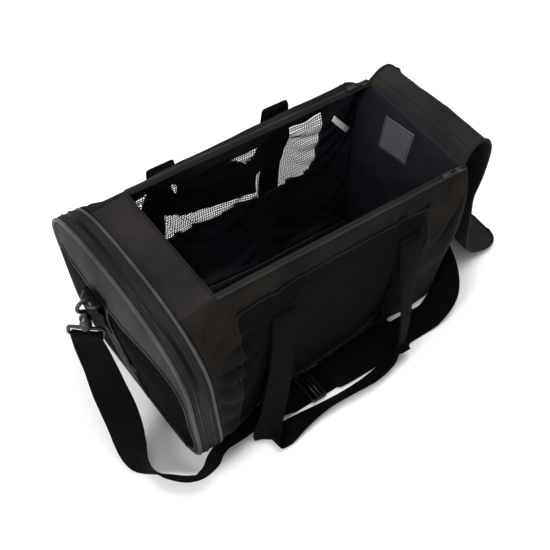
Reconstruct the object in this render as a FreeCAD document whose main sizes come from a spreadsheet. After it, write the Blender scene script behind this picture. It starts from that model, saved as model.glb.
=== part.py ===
"""Soft-sided pet carrier bag, 1:1 in millimetres.

Frame: origin at the centre of the base underside, +X to the rear end, +Y to the bag's left side,
+Z up.  The bag stands on a floor at Z = 0.  Its front end leans forward over a wire hoop, its top
is open, and the top flap is folded back over the rear end.
"""
import FreeCAD, Part
import Sketcher
import math
import os
from FreeCAD import Vector

doc = FreeCAD.newDocument("pet_carrier")
sheet = doc.addObject("Spreadsheet::Sheet", "Dims")

DIMS = {
    # main body
    "top_level": 283.0, "opening_front": -178.0, "opening_rear": 218.0, "opening_half": 97.0,
    "cloth": 3.0, "base_thick": 3.0, "gap": 0.3,
    # front hoop: half width, crown height, height where the arch starts, lean of its plane
    "hoop_half": 151.4, "hoop_crown": 288.5, "arch_start": 187.0, "arch_power": 2.4,
    "corner_radius": 32.0, "hoop_lean": 0.165, "rear_piping": -231.0, "front_piping": -262.0,
    "piping_size": 6.0, "wire_size": 2.6,
    # windows
    "window_low": 124.0, "window_high": 236.0, "window_front": -158.0, "window_rear": 150.0,
    # webbing
    "strap_width": 38.0, "strap_thick": 2.5, "grip_width": 24.0, "grip_thick": 5.0,
    # handles
    "right_front_leg": -92.0, "right_rear_leg": 120.0, "left_front_leg": -104.0,
    "left_rear_leg": 86.0, "sewn_top": 228.0,
    # insert
    "board_front": -172.0, "board_rear": 210.0, "board_half": 82.0, "board_thick": 3.5,
    "mat_thick": 12.0,
    # top flap
    "flap_half": 90.0, "flap_thick": 3.0, "flap_level": 287.0,
    # zip sliders
    "slider_length": 13.0, "slider_width": 8.0, "slider_height": 4.5, "pull_length": 24.0,
    # snap hooks and rings
    "eye_inner": 7.0, "eye_outer": 11.5, "hook_thick": 6.0, "ring_wire": 2.0, "ring_half": 14.0,
    "tab_width": 25.0,
}

for row, (name, value) in enumerate(DIMS.items(), start=1):
    sheet.set(f"A{row}", name)
    sheet.set(f"B{row}", str(value))
    sheet.setAlias(f"B{row}", name)
doc.recompute()

D = {name: float(sheet.get(name)) for name in DIMS}
NODES = []


# ---------------------------------------------------------------- helpers
def keep(obj, label):
    """Register an object of the document as one sub-part."""
    obj.Label = label
    NODES.append(obj)
    return obj


def bind(obj, prop, value):
    """Set a property from a number, or bind it to the sheet when the value is an expression."""
    if isinstance(value, str):
        obj.setExpression(prop, value)
    else:
        setattr(obj, prop, value)


def place(obj, pos, axis=(0, 0, 1), angle=0.0):
    obj.Placement = FreeCAD.Placement(Vector(*pos), FreeCAD.Rotation(Vector(*axis), angle))


def box(name, size, pos, axis=(0, 0, 1), angle=0.0):
    obj = doc.addObject("Part::Box", name)
    for prop, value in zip(("Length", "Width", "Height"), size):
        bind(obj, prop, value)
    place(obj, pos, axis, angle)
    return obj


def cylinder(name, radius, height, pos, axis=(0, 0, 1), angle=0.0):
    obj = doc.addObject("Part::Cylinder", name)
    bind(obj, "Radius", radius)
    bind(obj, "Height", height)
    place(obj, pos, axis, angle)
    return obj


def cut(name, base, tool):
    obj = doc.addObject("Part::Cut", name)
    obj.Base = base
    obj.Tool = tool
    return obj


def fuse(name, parts):
    obj = doc.addObject("Part::MultiFuse", name)
    obj.Shapes = parts
    return obj


def soft(label, shape):
    """A soft sub-part whose outline comes from the bag's surface functions."""
    obj = doc.addObject("Part::Feature", label)
    obj.Shape = shape
    return keep(obj, label)


def padded_outline(label, points, depth, plane="XY_Plane", pos=(0, 0, 0)):
    """A PartDesign body: a closed outline of (x, y) expressions or numbers, padded by depth."""
    body = doc.addObject("PartDesign::Body", label)
    sketch = body.newObject("Sketcher::SketchObject", label + "_outline")
    role = [f for f in body.Origin.OriginFeatures if f.Role == plane][0]
    sketch.AttachmentSupport = (role, "")
    sketch.MapMode = "FlatFace"
    numbers = [tuple(evaluate(c) for c in p) for p in points]
    count = len(points)
    for i in range(count):
        a, b = numbers[i], numbers[(i + 1) % count]
        sketch.addGeometry(Part.LineSegment(Vector(a[0], a[1], 0), Vector(b[0], b[1], 0)), False)
    for i in range(count):
        sketch.addConstraint(Sketcher.Constraint("Coincident", i, 2, (i + 1) % count, 1))
        for kind, value, text in zip(("DistanceX", "DistanceY"), numbers[i], points[i]):
            index = sketch.addConstraint(Sketcher.Constraint(kind, -1, 1, i, 1, value))
            if isinstance(text, str):
                sketch.setExpression(f"Constraints[{index}]", text)
    pad = body.newObject("PartDesign::Pad", label + "_pad")
    pad.Profile = sketch
    bind(pad, "Length", depth)
    place(body, pos)
    return keep(body, label)


def evaluate(value):
    """The number behind "Dims.name" or "-Dims.name"; a plain number is returned as it is."""
    if not isinstance(value, str):
        return float(value)
    sign = -1.0 if value.startswith("-") else 1.0
    return sign * D[value.lstrip("-").replace("Dims.", "")]


# ---------------------------------------------------------------- the bag's surface
def lean_x(x_top, z):
    """X of a leaning hoop plane at height z, for a plane that is at x_top at the top level."""
    return x_top + D["hoop_lean"] * (D["top_level"] - z)


def hoop_outline(offset=0.0):
    """Closed outline (y, z) of the front hoop, grown outward by offset."""
    a = D["hoop_half"]
    rise = D["hoop_crown"] - D["arch_start"]
    power = 2.0 / D["arch_power"]
    r = D["corner_radius"]
    half = []
    for step in range(0, 4):
        angle = math.radians(-90 + 30 * step)
        half.append((a - r + r * math.cos(angle), D["base_thick"] + r + r * math.sin(angle)))
    half.append((a, 0.5 * D["arch_start"]))
    for step in range(0, 10):
        angle = math.radians(9.0 * step)
        half.append((a * math.cos(angle) ** power, D["arch_start"] + rise * math.sin(angle) ** power))
    left = half + [(0.0, D["hoop_crown"])]
    points = [(-y, z) for y, z in half] + left[::-1]
    return grow(points, offset)


def grow(points, offset):
    """Move each corner of a closed clockwise outline along its outward normal."""
    if offset == 0.0:
        return points
    count = len(points)
    grown = []
    for i in range(count):
        before, here, after = points[i - 1], points[i], points[(i + 1) % count]
        n1 = unit((-(here[1] - before[1]), here[0] - before[0]))
        n2 = unit((-(after[1] - here[1]), after[0] - here[0]))
        scale = offset / max(0.5, 1.0 + n1[0] * n2[0] + n1[1] * n2[1])
        grown.append((here[0] + (n1[0] + n2[0]) * scale, here[1] + (n1[1] + n2[1]) * scale))
    return grown


def unit(v):
    length = math.hypot(*v)
    return (v[0] / length, v[1] / length)


def leaning_face(points, x_top):
    wire = [Vector(lean_x(x_top, z), y, z) for y, z in points]
    return Part.Face(Part.makePolygon(wire + [wire[0]]))


def hoop_ring(outer, inner, x_top, depth):
    """A band round the hoop between two offsets of its outline, depth long in X."""
    big = leaning_face(hoop_outline(outer), x_top).extrude(Vector(depth, 0, 0))
    small = leaning_face(hoop_outline(inner), x_top - 1).extrude(Vector(depth + 2, 0, 0))
    return big.cut(small)


def hoop_height(y):
    """Height of the hoop's arch at a distance y from the middle."""
    part = max(0.0, 1.0 - (abs(y) / D["hoop_half"]) ** D["arch_power"])
    return D["arch_start"] + (D["hoop_crown"] - D["arch_start"]) * part ** (1.0 / D["arch_power"])


def hoop_width(z):
    """Half width of the hoop at height z."""
    low = D["base_thick"] + D["corner_radius"]
    if z < low:
        drop = min(D["corner_radius"], low - z)
        return D["hoop_half"] - D["corner_radius"] + math.sqrt(D["corner_radius"] ** 2 - drop ** 2)
    if z <= D["arch_start"]:
        return D["hoop_half"]
    part = 1.0 - ((z - D["arch_start"]) / (D["hoop_crown"] - D["arch_start"])) ** D["arch_power"]
    return D["hoop_half"] * max(0.0, part) ** (1.0 / D["arch_power"])


# half width of the body at each level, at four stations behind the hoop: it is slack and
# wide near the hoop, waisted in the middle and boxy at the rear end
WALL_TOP = D["top_level"] - 4.0
LEVELS = [3.2, 12.0, 35.0, 100.0, 187.0, 235.0, 262.0, WALL_TOP]
STATIONS = {
    D["opening_front"]: [118, 126, 136, 141, 140, 130, 113, 97],
    -80.0: [99, 104, 112, 121, 124, 118, 108, 97],
    60.0: [91, 96, 103, 112, 116, 112, 105, 97],
    D["opening_rear"] - 3.2: [94, 97, 100, 105, 114, 112, 106, 96],
}
HOOP_BACK = D["rear_piping"] + 3.6
HOOP_LEVELS = LEVELS[:-1] + [267.5]


def interpolate(x, xs, ys):
    for i in range(len(xs) - 1):
        if x <= xs[i + 1]:
            t = (x - xs[i]) / (xs[i + 1] - xs[i])
            return ys[i] + t * (ys[i + 1] - ys[i])
    return ys[-1]


def body_width(x, z):
    """Half width of the body outside, behind the front edge of the opening."""
    across = [interpolate(z, LEVELS, widths) for widths in STATIONS.values()]
    return interpolate(x, list(STATIONS), across)


def wall_section(x, side, outset, inset):
    """Closed section of a side wall at station x; the first one lies in the leaning hoop plane."""
    if x is None:
        rows = [(lean_x(HOOP_BACK, z), hoop_width(z), z) for z in HOOP_LEVELS[:-1]]
        rows.append((lean_x(HOOP_BACK, HOOP_LEVELS[-1]), D["opening_half"] + 8.0, HOOP_LEVELS[-1]))
    else:
        rows = [(x, w, z) for z, w in zip(LEVELS, STATIONS[x])]
    outer = [Vector(px, side * (w + outset), z) for px, w, z in rows]
    inner = [Vector(px, side * (w - inset), z) for px, w, z in rows[::-1]]
    return Part.makePolygon(outer + inner + [outer[0]])


def wall(side, outset=0.0, inset=None):
    inset = D["cloth"] if inset is None else inset
    sections = [wall_section(x, side, outset, inset) for x in [None] + list(STATIONS)]
    return Part.makeLoft(sections, True, True)


def on_wall(side, x0, x1, levels, near, far):
    """A strip of webbing or binding that lies on a side wall, from near to far off its surface."""
    sections = []
    for x in (x0, x1):
        outer = [Vector(x, side * (body_width(x, z) + far), z) for z in levels]
        inner = [Vector(x, side * (body_width(x, z) + near), z) for z in levels[::-1]]
        sections.append(Part.makePolygon(outer + inner + [outer[0]]))
    return Part.makeLoft(sections, True, True)


def ribbon(frames, width, thick, first_along=None, last_along=None):
    """A flat strap through frames of (centre, direction of its width).

    first_along and last_along square off its two ends where it meets another piece.
    """
    centres = [Vector(*c) for c, _ in frames]
    last = len(frames) - 1
    sections = []
    for i, (centre, across) in enumerate(frames):
        before, after = centres[max(i - 1, 0)], centres[min(i + 1, last)]
        along = (after - before).normalize()
        if i == 0 and first_along:
            along = Vector(*first_along)
        if i == last and last_along:
            along = Vector(*last_along)
        wide = Vector(*across)
        wide = (wide - along * wide.dot(along)).normalize()
        up = along.cross(wide)
        half, rise = wide * (width / 2.0), up * (thick / 2.0)
        c = centres[i]
        corners = [c - half - rise, c + half - rise, c + half + rise, c - half + rise]
        sections.append(Part.makePolygon(corners + [corners[0]]))
    return Part.makeLoft(sections, True, True)


# ---------------------------------------------------------------- base, walls and windows
# right half of the base's outline, waisted in the middle like the walls that stand on it
BASE_SIDE = [(-180.4, -117.7), (-178, -117.5), (-80, -98.5), (60, -90.5), (216, -94)]
PANE_GAP = 0.2
ACROSS = 400.0
LINING_SIZE = (0.8, 176.0, 250.0)
LINING_FOOT = 22.0
STRIP_THICK = 2.5


def build_body():
    outline = BASE_SIDE + [(x, -y) for x, y in BASE_SIDE[::-1]]
    padded_outline("bottom_panel", outline, "Dims.base_thick")

    window_height = D["window_high"] - D["window_low"]
    window_length = D["window_rear"] - D["window_front"]
    hole = Part.makeBox(window_length, ACROSS, window_height,
                        Vector(D["window_front"], -ACROSS / 2, D["window_low"]))
    pane = Part.makeBox(window_length - 2 * PANE_GAP, ACROSS, window_height - 2 * PANE_GAP,
                        Vector(D["window_front"] + PANE_GAP, -ACROSS / 2, D["window_low"] + PANE_GAP))
    for name, side in (("left", 1), ("right", -1)):
        soft(f"{name}_wall", wall(side).cut(hole))
        soft(f"{name}_mesh", wall(side, -1.0, 2.0).common(pane))

    rear = [(w, z) for z, w in zip(LEVELS, STATIONS[D["opening_rear"] - 3.2])]
    points = [Vector(D["opening_rear"] - D["cloth"], w, z) for w, z in rear]
    points += [Vector(p.x, -p.y, p.z) for p in points[::-1]]
    panel = Part.Face(Part.makePolygon(points + [points[0]])).extrude(Vector(D["cloth"], 0, 0))
    soft("rear_panel", panel)
    lining_x = D["opening_rear"] - D["cloth"] - LINING_SIZE[0] - 0.4
    lining = box("rear_lining", LINING_SIZE, (lining_x, -LINING_SIZE[1] / 2, LINING_FOOT))
    keep(lining, "rear_lining")

    strip_sections = []
    ys = [-97.0, -72.0, -40.0, 0.0, 40.0, 72.0, 97.0]
    for front in (True, False):
        upper, lower = [], []
        for y in ys:
            z = hoop_height(y) if front else D["top_level"]
            for row, height in ((upper, z), (lower, z - STRIP_THICK)):
                x = lean_x(HOOP_BACK, height) if front else D["opening_front"]
                row.append(Vector(x, y, height))
        strip_sections.append(Part.makePolygon(upper + lower[::-1] + [upper[0]]))
    soft("top_strip", Part.makeLoft(strip_sections, True, True))


# ---------------------------------------------------------------- front hoop and its door
ZIP_PLANE = 0.5 * (D["rear_piping"] + D["front_piping"])


def build_hoops():
    size = D["piping_size"]
    wire = D["wire_size"]
    for name, x_top in (("rear", D["rear_piping"]), ("front", D["front_piping"])):
        core = hoop_ring(wire / 2, -wire / 2, x_top - wire / 2, wire)
        tube = hoop_ring(size / 2, -size / 2, x_top - size / 2, size)
        soft(f"{name}_hoop_wire", core)
        soft(f"{name}_piping", tube.cut(core))
    clear = size / 2 + 0.2
    depth = D["rear_piping"] - clear - ZIP_PLANE - 1.0
    soft("rear_gusset", hoop_ring(0, -D["cloth"], ZIP_PLANE + 1.0, depth))
    soft("front_gusset", hoop_ring(0, -D["cloth"], D["front_piping"] + clear, depth))
    soft("door_zip_chain", hoop_ring(1.4, 0.2, ZIP_PLANE + 1.0, 3.0))


def dome_loop(scale, low, high, deep_low, deep_high, back=0.0):
    """One loop of the bulging door: the hoop's outline scaled, pushed forward by its own depth."""
    tall = D["hoop_crown"] - D["base_thick"]
    points = []
    for y, z in hoop_outline(-D["piping_size"] / 2 - 0.4):
        height = low + (z - D["base_thick"]) * (high - low) / tall
        depth = deep_low + (height - low) * (deep_high - deep_low) / (high - low)
        x = lean_x(D["front_piping"] + 1.0, height) - depth + back
        points.append(Vector(x, y * scale, height))
    return Part.makePolygon(points + [points[0]])


DOME = [(1.0, 3.0, 288.5, 0.0, 0.0), (0.9, 30.0, 275.0, 3.0, 12.0),
        (0.7, 80.0, 255.0, 7.0, 20.0), (0.42, 150.0, 235.0, 14.0, 22.0)]


def dome_x(z):
    """X of the door's outer face on its centre line."""
    heights = [30.0, 80.0, 150.0, 235.0, 255.0, 275.0, 288.0]
    depths = [3.0, 7.0, 14.0, 22.0, 20.0, 12.0, 0.0]
    return lean_x(D["front_piping"] + 1.0, z) - interpolate(z, heights, depths)


def build_door():
    outer = Part.makeLoft([dome_loop(*row) for row in DOME], True, True)
    inner_rows = [(s, a, b, c, d, 2.6) for s, a, b, c, d in DOME]
    shell = outer.cut(Part.makeLoft([dome_loop(*row) for row in inner_rows], True, True))
    lune = [(y * 0.86, 14.0 + (z - 3.0) * 0.76) for y, z in hoop_outline()]
    far = -400.0
    window = Part.Face(Part.makePolygon([Vector(far, y, z) for y, z in lune + lune[:1]]))
    window = window.extrude(Vector(300, 0, 0))
    middle = Part.makeBox(300, 36, 400, Vector(far, -18, -10))
    right_side = Part.makeBox(300, 200, 400, Vector(far, -218, -10))
    left_side = Part.makeBox(300, 200, 400, Vector(far, 18, -10))
    soft("door_border", shell.cut(window))
    panel = shell.common(window)
    soft("door_centre_band", panel.common(middle))
    soft("door_mesh_right", panel.common(right_side))
    soft("door_mesh_left", panel.common(left_side))


# ---------------------------------------------------------------- rings, hooks and eyes
def build_clip(end, surface, base, facing, owner_tilt):
    """Webbing tab, D-ring, snap hook with gate and strap eye at one end of the bag.

    surface is a function of z that gives X of the face; base is the height of the ring's bar;
    facing is -1 at the front and +1 at the rear.
    """
    half = D["tab_width"] / 2
    low = base - 66.0
    tab = []
    for y in (-half, half):
        near = [Vector(surface(z) + facing * 0.4, y, z) for z in (low, base - 17, base - 4)]
        far = [Vector(p.x + facing * 2.4, y, p.z) for p in near[::-1]]
        tab.append(Part.makePolygon(near + far + [near[0]]))
    soft(f"{end}_tab", Part.makeLoft(tab, True, True))

    bar_x = surface(base) + facing * 4.5
    eye = (bar_x + facing * 12.0, base - 8.0)
    rod = D["ring_wire"]
    wire_z = eye[1] + D["eye_inner"] - rod - 0.4
    span = D["ring_half"]
    path = Part.Wire([
        Part.Arc(Vector(bar_x, -span, base), Vector(eye[0], 0, wire_z),
                 Vector(bar_x, span, base)).toShape()])
    circle = Part.Wire(Part.Circle(Vector(bar_x, -span, base), Vector(facing, 0.35, 0), rod).toShape())
    arc = path.makePipeShell([circle], True, True)
    bar = Part.makeCylinder(rod, 2 * span + 4, Vector(bar_x, -span - 2, base), Vector(0, 1, 0))
    soft(f"{end}_d_ring", arc.fuse(bar))

    # hook: an open eye in the XZ plane over a square shank
    thick = D["hook_thick"]
    name = f"{end}_hook"
    top = cylinder(name + "_rim", "Dims.eye_outer", "Dims.hook_thick",
                   (eye[0], thick / 2, eye[1]), (1, 0, 0), 90)
    shank = box(name + "_shank", (9, thick, 14), (eye[0] - 4.5, -thick / 2, eye[1] - 22))
    block = box(name + "_block", (16, 10, 17), (eye[0] - 8, -5, eye[1] - 39))
    hole = cylinder(name + "_hole", "Dims.eye_inner", 20, (eye[0], 10, eye[1]), (1, 0, 0), 90)
    mouth_x = eye[0] + 5.5 if facing < 0 else eye[0] - 14.0
    mouth = box(name + "_mouth", (8.5, 20, 10), (mouth_x, -10, eye[1] - 8))
    bore = cylinder(name + "_bore", 2.4, 14, (eye[0], 0, eye[1] - 40))
    solid = cut(name + "_cut", fuse(name + "_all", [top, shank, block]),
                fuse(name + "_tools", [hole, mouth, bore]))
    keep(solid, name)
    gate_x = eye[0] - facing * 8.6
    keep(box(f"{end}_gate", (3.4, 4, 9.0), (gate_x - 1.7, -2, eye[1] - 7.4)), f"{end}_gate")

    # eye that carries the strap, turned to the strap's own direction
    frame_top = eye[1] - 40.0
    outer = box(f"{end}_eye_outer", (48, 5, 18), (-24, -2.5, -18))
    slot = box(f"{end}_eye_slot", (39.5, 20, 7.5), (-19.75, -10, -13.5))
    post = cylinder(f"{end}_eye_post", 2.0, 14, (0, 0, -1))
    frame = cut(f"{end}_eye_cut", fuse(f"{end}_eye_all", [outer, post]), slot)
    place(frame, (eye[0], 0, frame_top), (0, 0, 1), owner_tilt)
    keep(frame, f"{end}_strap_eye")
    return eye[0], frame_top


FRONT_TILT = -39.7
REAR_TILT = 90.0


def rear_surface(z):
    return D["opening_rear"]


def build_clips():
    front = build_clip("front", dome_x, 252.0, -1, FRONT_TILT)
    rear = build_clip("rear", rear_surface, 232.0, 1, REAR_TILT)
    return front, rear


# ---------------------------------------------------------------- shoulder strap
RUN_Y = -124.0
RUN_LIE = 1.4
DROP_END_Y = -70.0


def build_shoulder_strap(front, rear):
    """The strap in three lengths: down in front of the door, along the floor, up to the rear hook."""
    width, thick = D["strap_width"], D["strap_thick"]
    lie = RUN_LIE + thick / 2
    down, ahead, aside = (0, 0, -1), (1, 0, 0), (0, -1, 0)
    fx, ftop = front
    facing_out = (0.77, -0.64, 0)
    drop = [((fx, 0, ftop - 18.3), facing_out), ((fx, 0, ftop - 25), facing_out),
            ((fx + 1, -16, 125), (0.85, -0.5, 0)), ((fx + 5, -40, 60), (0.95, -0.25, 0)),
            ((-281, -61, 10), (1, 0, 0)), ((-279.5, DROP_END_Y + 0.2, lie), (1, 0, 0))]
    soft("strap_front_drop", ribbon(drop, width, thick, down, aside))
    floor = [((-279.5, DROP_END_Y, lie), (1, 0, 0)), ((-279, -98, lie), (0.98, -0.2, 0)),
             ((-270, -130, lie), (0.85, 0.5, 0)), ((-248, -153, lie), (0.5, 0.86, 0)),
             ((-220, -162, lie), (0, 1, 0)), ((-186, -157, lie), (-0.15, 0.98, 0)),
             ((-158, -143, 9), (-0.35, 0.85, -0.35)), ((-132, -133, 15), (-0.2, 0.7, -0.68)),
             ((-104, -127, 13), (-0.05, 0.77, -0.62)), ((-80, -125, 8), (0, 0.92, -0.35)),
             ((-60, RUN_Y, lie), (0, 1, 0)), ((178, RUN_Y, lie), (0, 1, 0))]
    soft("strap_side_run", ribbon(floor, width, thick, aside, ahead))
    rx, rtop = rear
    rise = [((178.2, RUN_Y, lie), (0, 1, 0)), ((207, RUN_Y, 8), (0.05, 0.98, -0.15)),
            ((237, -113, 28), (-0.3, 0.9, -0.3)), ((247, -86, 62), (-0.2, 0.8, -0.5)),
            ((244, -50, 100), (0, 0.74, -0.67)), ((239, -18, 128), (0, 0.85, -0.5)),
            ((rx, 0, rtop - 25), (0, 1, 0)), ((rx, 0, rtop - 18.3), (0, 1, 0))]
    soft("strap_rear_rise", ribbon(rise, width, thick, ahead, (0, 0, 1)))


def build_strap_fittings():
    """Adjuster loop and shoulder pad, both threaded on the straight run along the right side."""
    loop = box("adjuster_outer", (26, 43.6, 8.4), (-38, RUN_Y - 21.8, 0.3))
    slot = box("adjuster_slot", (40, 39.2, 4.6), (-45, RUN_Y - 19.6, 1.0))
    window = box("adjuster_window", (16, 34, 20), (-33, RUN_Y - 17, 5.0))
    rib = box("adjuster_rib", (5, 39.2, 2.0), (-27.5, RUN_Y - 19.6, 6.6))
    frame = cut("adjuster_cut", loop, fuse("adjuster_tools", [slot, window]))
    keep(fuse("adjuster_all", [frame, rib]), "strap_adjuster")
    pad = [(8, -19), (12, -21), (138, -21), (142, -19), (142, 19), (138, 21), (12, 21), (8, 19)]
    padded_outline("shoulder_pad", pad, 6.0, pos=(0, RUN_Y, 4.6))


# ---------------------------------------------------------------- carry handles
LEFT_HANDLE_Y = 139.0
# cloth wrap sewn round the left grip, on the outside of the webbing
WRAP_THICK = 3.0
WRAP_LOW, WRAP_HIGH = 118.0, 190.0


def build_handles():
    width, thick = D["strap_width"], D["strap_thick"]
    half = width / 2
    levels = [14.0, 35.0, 100.0, 187.0, D["sewn_top"]]
    bands = {"left_band_front": (1, "left_front_leg"), "left_band_rear": (1, "left_rear_leg"),
             "right_band_front": (-1, "right_front_leg"), "right_band_rear": (-1, "right_rear_leg")}
    for label, (side, leg) in bands.items():
        x = D[leg]
        strip = on_wall(side, x - half, x + half, levels, 0.5, 0.5 + thick)
        if side > 0:
            start = body_width(x - half, D["sewn_top"]) + 0.7 + thick / 2
            loop = [((x, start, D["sewn_top"] - 0.5), (1, 0, 0)), ((x, start + 2, 247), (1, 0, 0)),
                    ((x, 127, 261), (1, 0, 0))]
            strip = strip.fuse(ribbon(loop, width, thick))
        soft(label, strip)

    # left handle: a U of webbing folded over outward, pivot line above its sewn ends
    x0, x1 = D["left_front_leg"] - half, D["left_rear_leg"] + half
    u_shape = [(x0, 258), (x0, 131), (x1, 131), (x1, 258), (x1 - width, 258), (x1 - width, 169),
               (x0 + width, 169), (x0 + width, 258)]
    padded_outline("left_handle", u_shape, thick, "XZ_Plane", (0, LEFT_HANDLE_Y, 0))
    front, rear = x0 + 19, x1 - 50
    wrap = [(front, WRAP_LOW), (rear, WRAP_LOW), (rear, WRAP_HIGH), (front, WRAP_HIGH)]
    padded_outline("grip_wrap", wrap, WRAP_THICK, "XZ_Plane", (0, LEFT_HANDLE_Y + 0.3 + WRAP_THICK, 0))

    # right handle: both legs hang down outside the wall, the grip lies on the floor
    front, rear = D["right_front_leg"], D["right_rear_leg"]
    legs = []
    for x_top, x_low, y_low in ((front, -125.0, -159.0), (rear, 117.0, -158.0)):
        y_top = -(body_width(x_top - half, D["sewn_top"]) + 6.6)
        frames = [((x_top, y_top, D["sewn_top"] - 3), (1, 0, 0)),
                  ((0.5 * (x_top + x_low), 0.55 * y_top + 0.45 * y_low, 110), (1, 0, 0)),
                  ((x_low, y_low, 4.0), (1, 0, 0))]
        legs.append(ribbon(frames, width, thick))
    grip_half = D["grip_width"] / 2
    centre = [(-140, -160), (-90, -163), (-30, -165), (45, -165), (95, -163), (132, -160)]
    outline = [(x, y - grip_half) for x, y in centre] + [(x, y + grip_half) for x, y in centre[::-1]]
    grip = Part.Face(Part.makePolygon([Vector(x, y, 1.0) for x, y in outline + outline[:1]]))
    grip = grip.extrude(Vector(0, 0, D["grip_thick"]))
    soft("right_handle", legs[0].fuse([legs[1], grip]))


# ---------------------------------------------------------------- insert, label and tag
def build_insert():
    front, half = D["board_front"], D["board_half"]
    board = box("base_board", ("Dims.board_rear - Dims.board_front", "2 * Dims.board_half",
                               "Dims.board_thick"), (front, -half, 3.5))
    keep(board, "base_board")
    mat = box("floor_mat", ("Dims.board_rear - Dims.board_front", "2 * Dims.board_half",
                            "Dims.mat_thick"), (front, -half, 3.8 + D["board_thick"]))
    keep(mat, "floor_mat")
    inside = D["opening_rear"] - 5.4
    patch = box("label_patch", (0.8, 56, 59), (inside, -4, 202), (1, 0, 0), 9)
    keep(patch, "label_patch")
    tag = box("care_tag", (22, 0.8, 30), (150, body_width(160, 239) - 5.5, 190))
    keep(tag, "care_tag")


# ---------------------------------------------------------------- top zip
def build_top_zip():
    length = D["opening_rear"] - D["opening_front"] - 5
    x0, z0 = D["opening_front"] + 1.5, WALL_TOP + 0.2
    for name, side in (("left", 1), ("right", -1)):
        y_mid = side * 96.0
        keep(box(f"{name}_zip_tape", (length, 9, 3.0), (x0, y_mid - 4.5, z0)), f"{name}_zip_tape")
        slide_x = D["opening_rear"] - 18
        body = box(f"{name}_slider_body", ("Dims.slider_length", "Dims.slider_width",
                                           "Dims.slider_height"),
                   (slide_x, side * 97.0 - 4.0, z0 + 3.4))
        neck = box(f"{name}_slider_notch", (4, 12, 1.6), (slide_x - 1, side * 97.0 - 6, z0 + 6.6))
        keep(cut(f"{name}_slider_cut", body, neck), f"{name}_slider")
        pull = [(-24, -3), (-22, -3.5), (-2, -2.2), (0, -2.2), (0, 2.2), (-2, 2.2), (-22, 3.5), (-24, 3)]
        padded_outline(f"{name}_pull", pull, 1.4, pos=(slide_x - 1.0, side * 97.0, z0 + 6.2))
    keep(box("front_zip_tape", (6, 176, 2.4), (D["opening_front"] + 0.4, -88, 280.8)), "front_zip_tape")


def build_door_slider():
    """Slider and pull of the hoop zip, low on the left side and leaning with the zip."""
    low = 50.0
    start = Vector(lean_x(ZIP_PLANE, low), D["hoop_half"] + 2.0, low)
    lean = FreeCAD.Rotation(Vector(0, 1, 0), -math.degrees(math.atan(D["hoop_lean"])))
    for label, size, offset in (("door_slider", (9, 4.0, 13), (-4.5, 0, 0)),
                                ("door_pull", (5, 1.4, 22), (-2.5, 4.6, -18))):
        piece = box(label + "_body", size, (0, 0, 0))
        piece.Placement = FreeCAD.Placement(start + lean.multVec(Vector(*offset)), lean)
        keep(piece, label)


# ---------------------------------------------------------------- top flap, folded back
FLAP_PATH = [(219.0, 287.0), (240.0, 313.0), (269.0, 276.0), (264.0, 191.0), (320.0, 33.0),
             (377.0, 5.0)]
FLAP_GAP = 2.6


def build_flap():
    """Five stiff lengths of the flap along its folded path, each a flat slab."""
    half, thick = D["flap_half"], D["flap_thick"]
    for i, name in enumerate("abcde"):
        (ax, az), (bx, bz) = FLAP_PATH[i], FLAP_PATH[i + 1]
        length = math.hypot(bx - ax, bz - az)
        angle = math.degrees(math.atan2(bz - az, bx - ax))
        slab = box(f"flap_{name}", (length - 2 * FLAP_GAP, "2 * Dims.flap_half", "Dims.flap_thick"),
                   (0, 0, 0))
        turn = FreeCAD.Rotation(Vector(0, 1, 0), -angle)
        offset = turn.multVec(Vector(FLAP_GAP, -half, -thick / 2))
        slab.Placement = FreeCAD.Placement(Vector(ax, 0, az) + offset, turn)
        keep(slab, f"flap_{name}")


# ---------------------------------------------------------------- build, check, write
build_body()
build_hoops()
build_door()
front_eye, rear_eye = build_clips()
build_shoulder_strap(front_eye, rear_eye)
build_strap_fittings()
build_handles()
build_insert()
build_top_zip()
build_door_slider()
build_flap()
doc.recompute()

problems = []
for obj in doc.Objects:
    if "Invalid" in obj.State or "Error" in obj.State:
        problems.append(f"{obj.Name}: {obj.State}")
for obj in NODES:
    if obj.Shape.isNull() or not obj.Shape.isValid() or obj.Shape.Volume < 1.0:
        problems.append(f"{obj.Label}: bad shape")
if problems:
    raise RuntimeError("; ".join(problems))

os.makedirs("parts", exist_ok=True)
for obj in NODES:
    obj.Shape.exportStep(os.path.join("parts", obj.Label + ".step"))
    solids = len(obj.Shape.Solids)
    print(f"{obj.Label:20s} solids {solids} volume {obj.Shape.Volume:12.1f}")
print(len(NODES), "nodes")
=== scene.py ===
"""Looks of the soft-sided pet carrier bag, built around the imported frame.

Lengths in this script are millimetres until a mesh is made, where MM turns them into metres.
+X runs to the rear end, +Y to the bag's left side, +Z up, and the floor is Z = 0.
"""
import math

import bmesh
import bpy
import numpy as np
from mathutils import Matrix, Vector, noise


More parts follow.
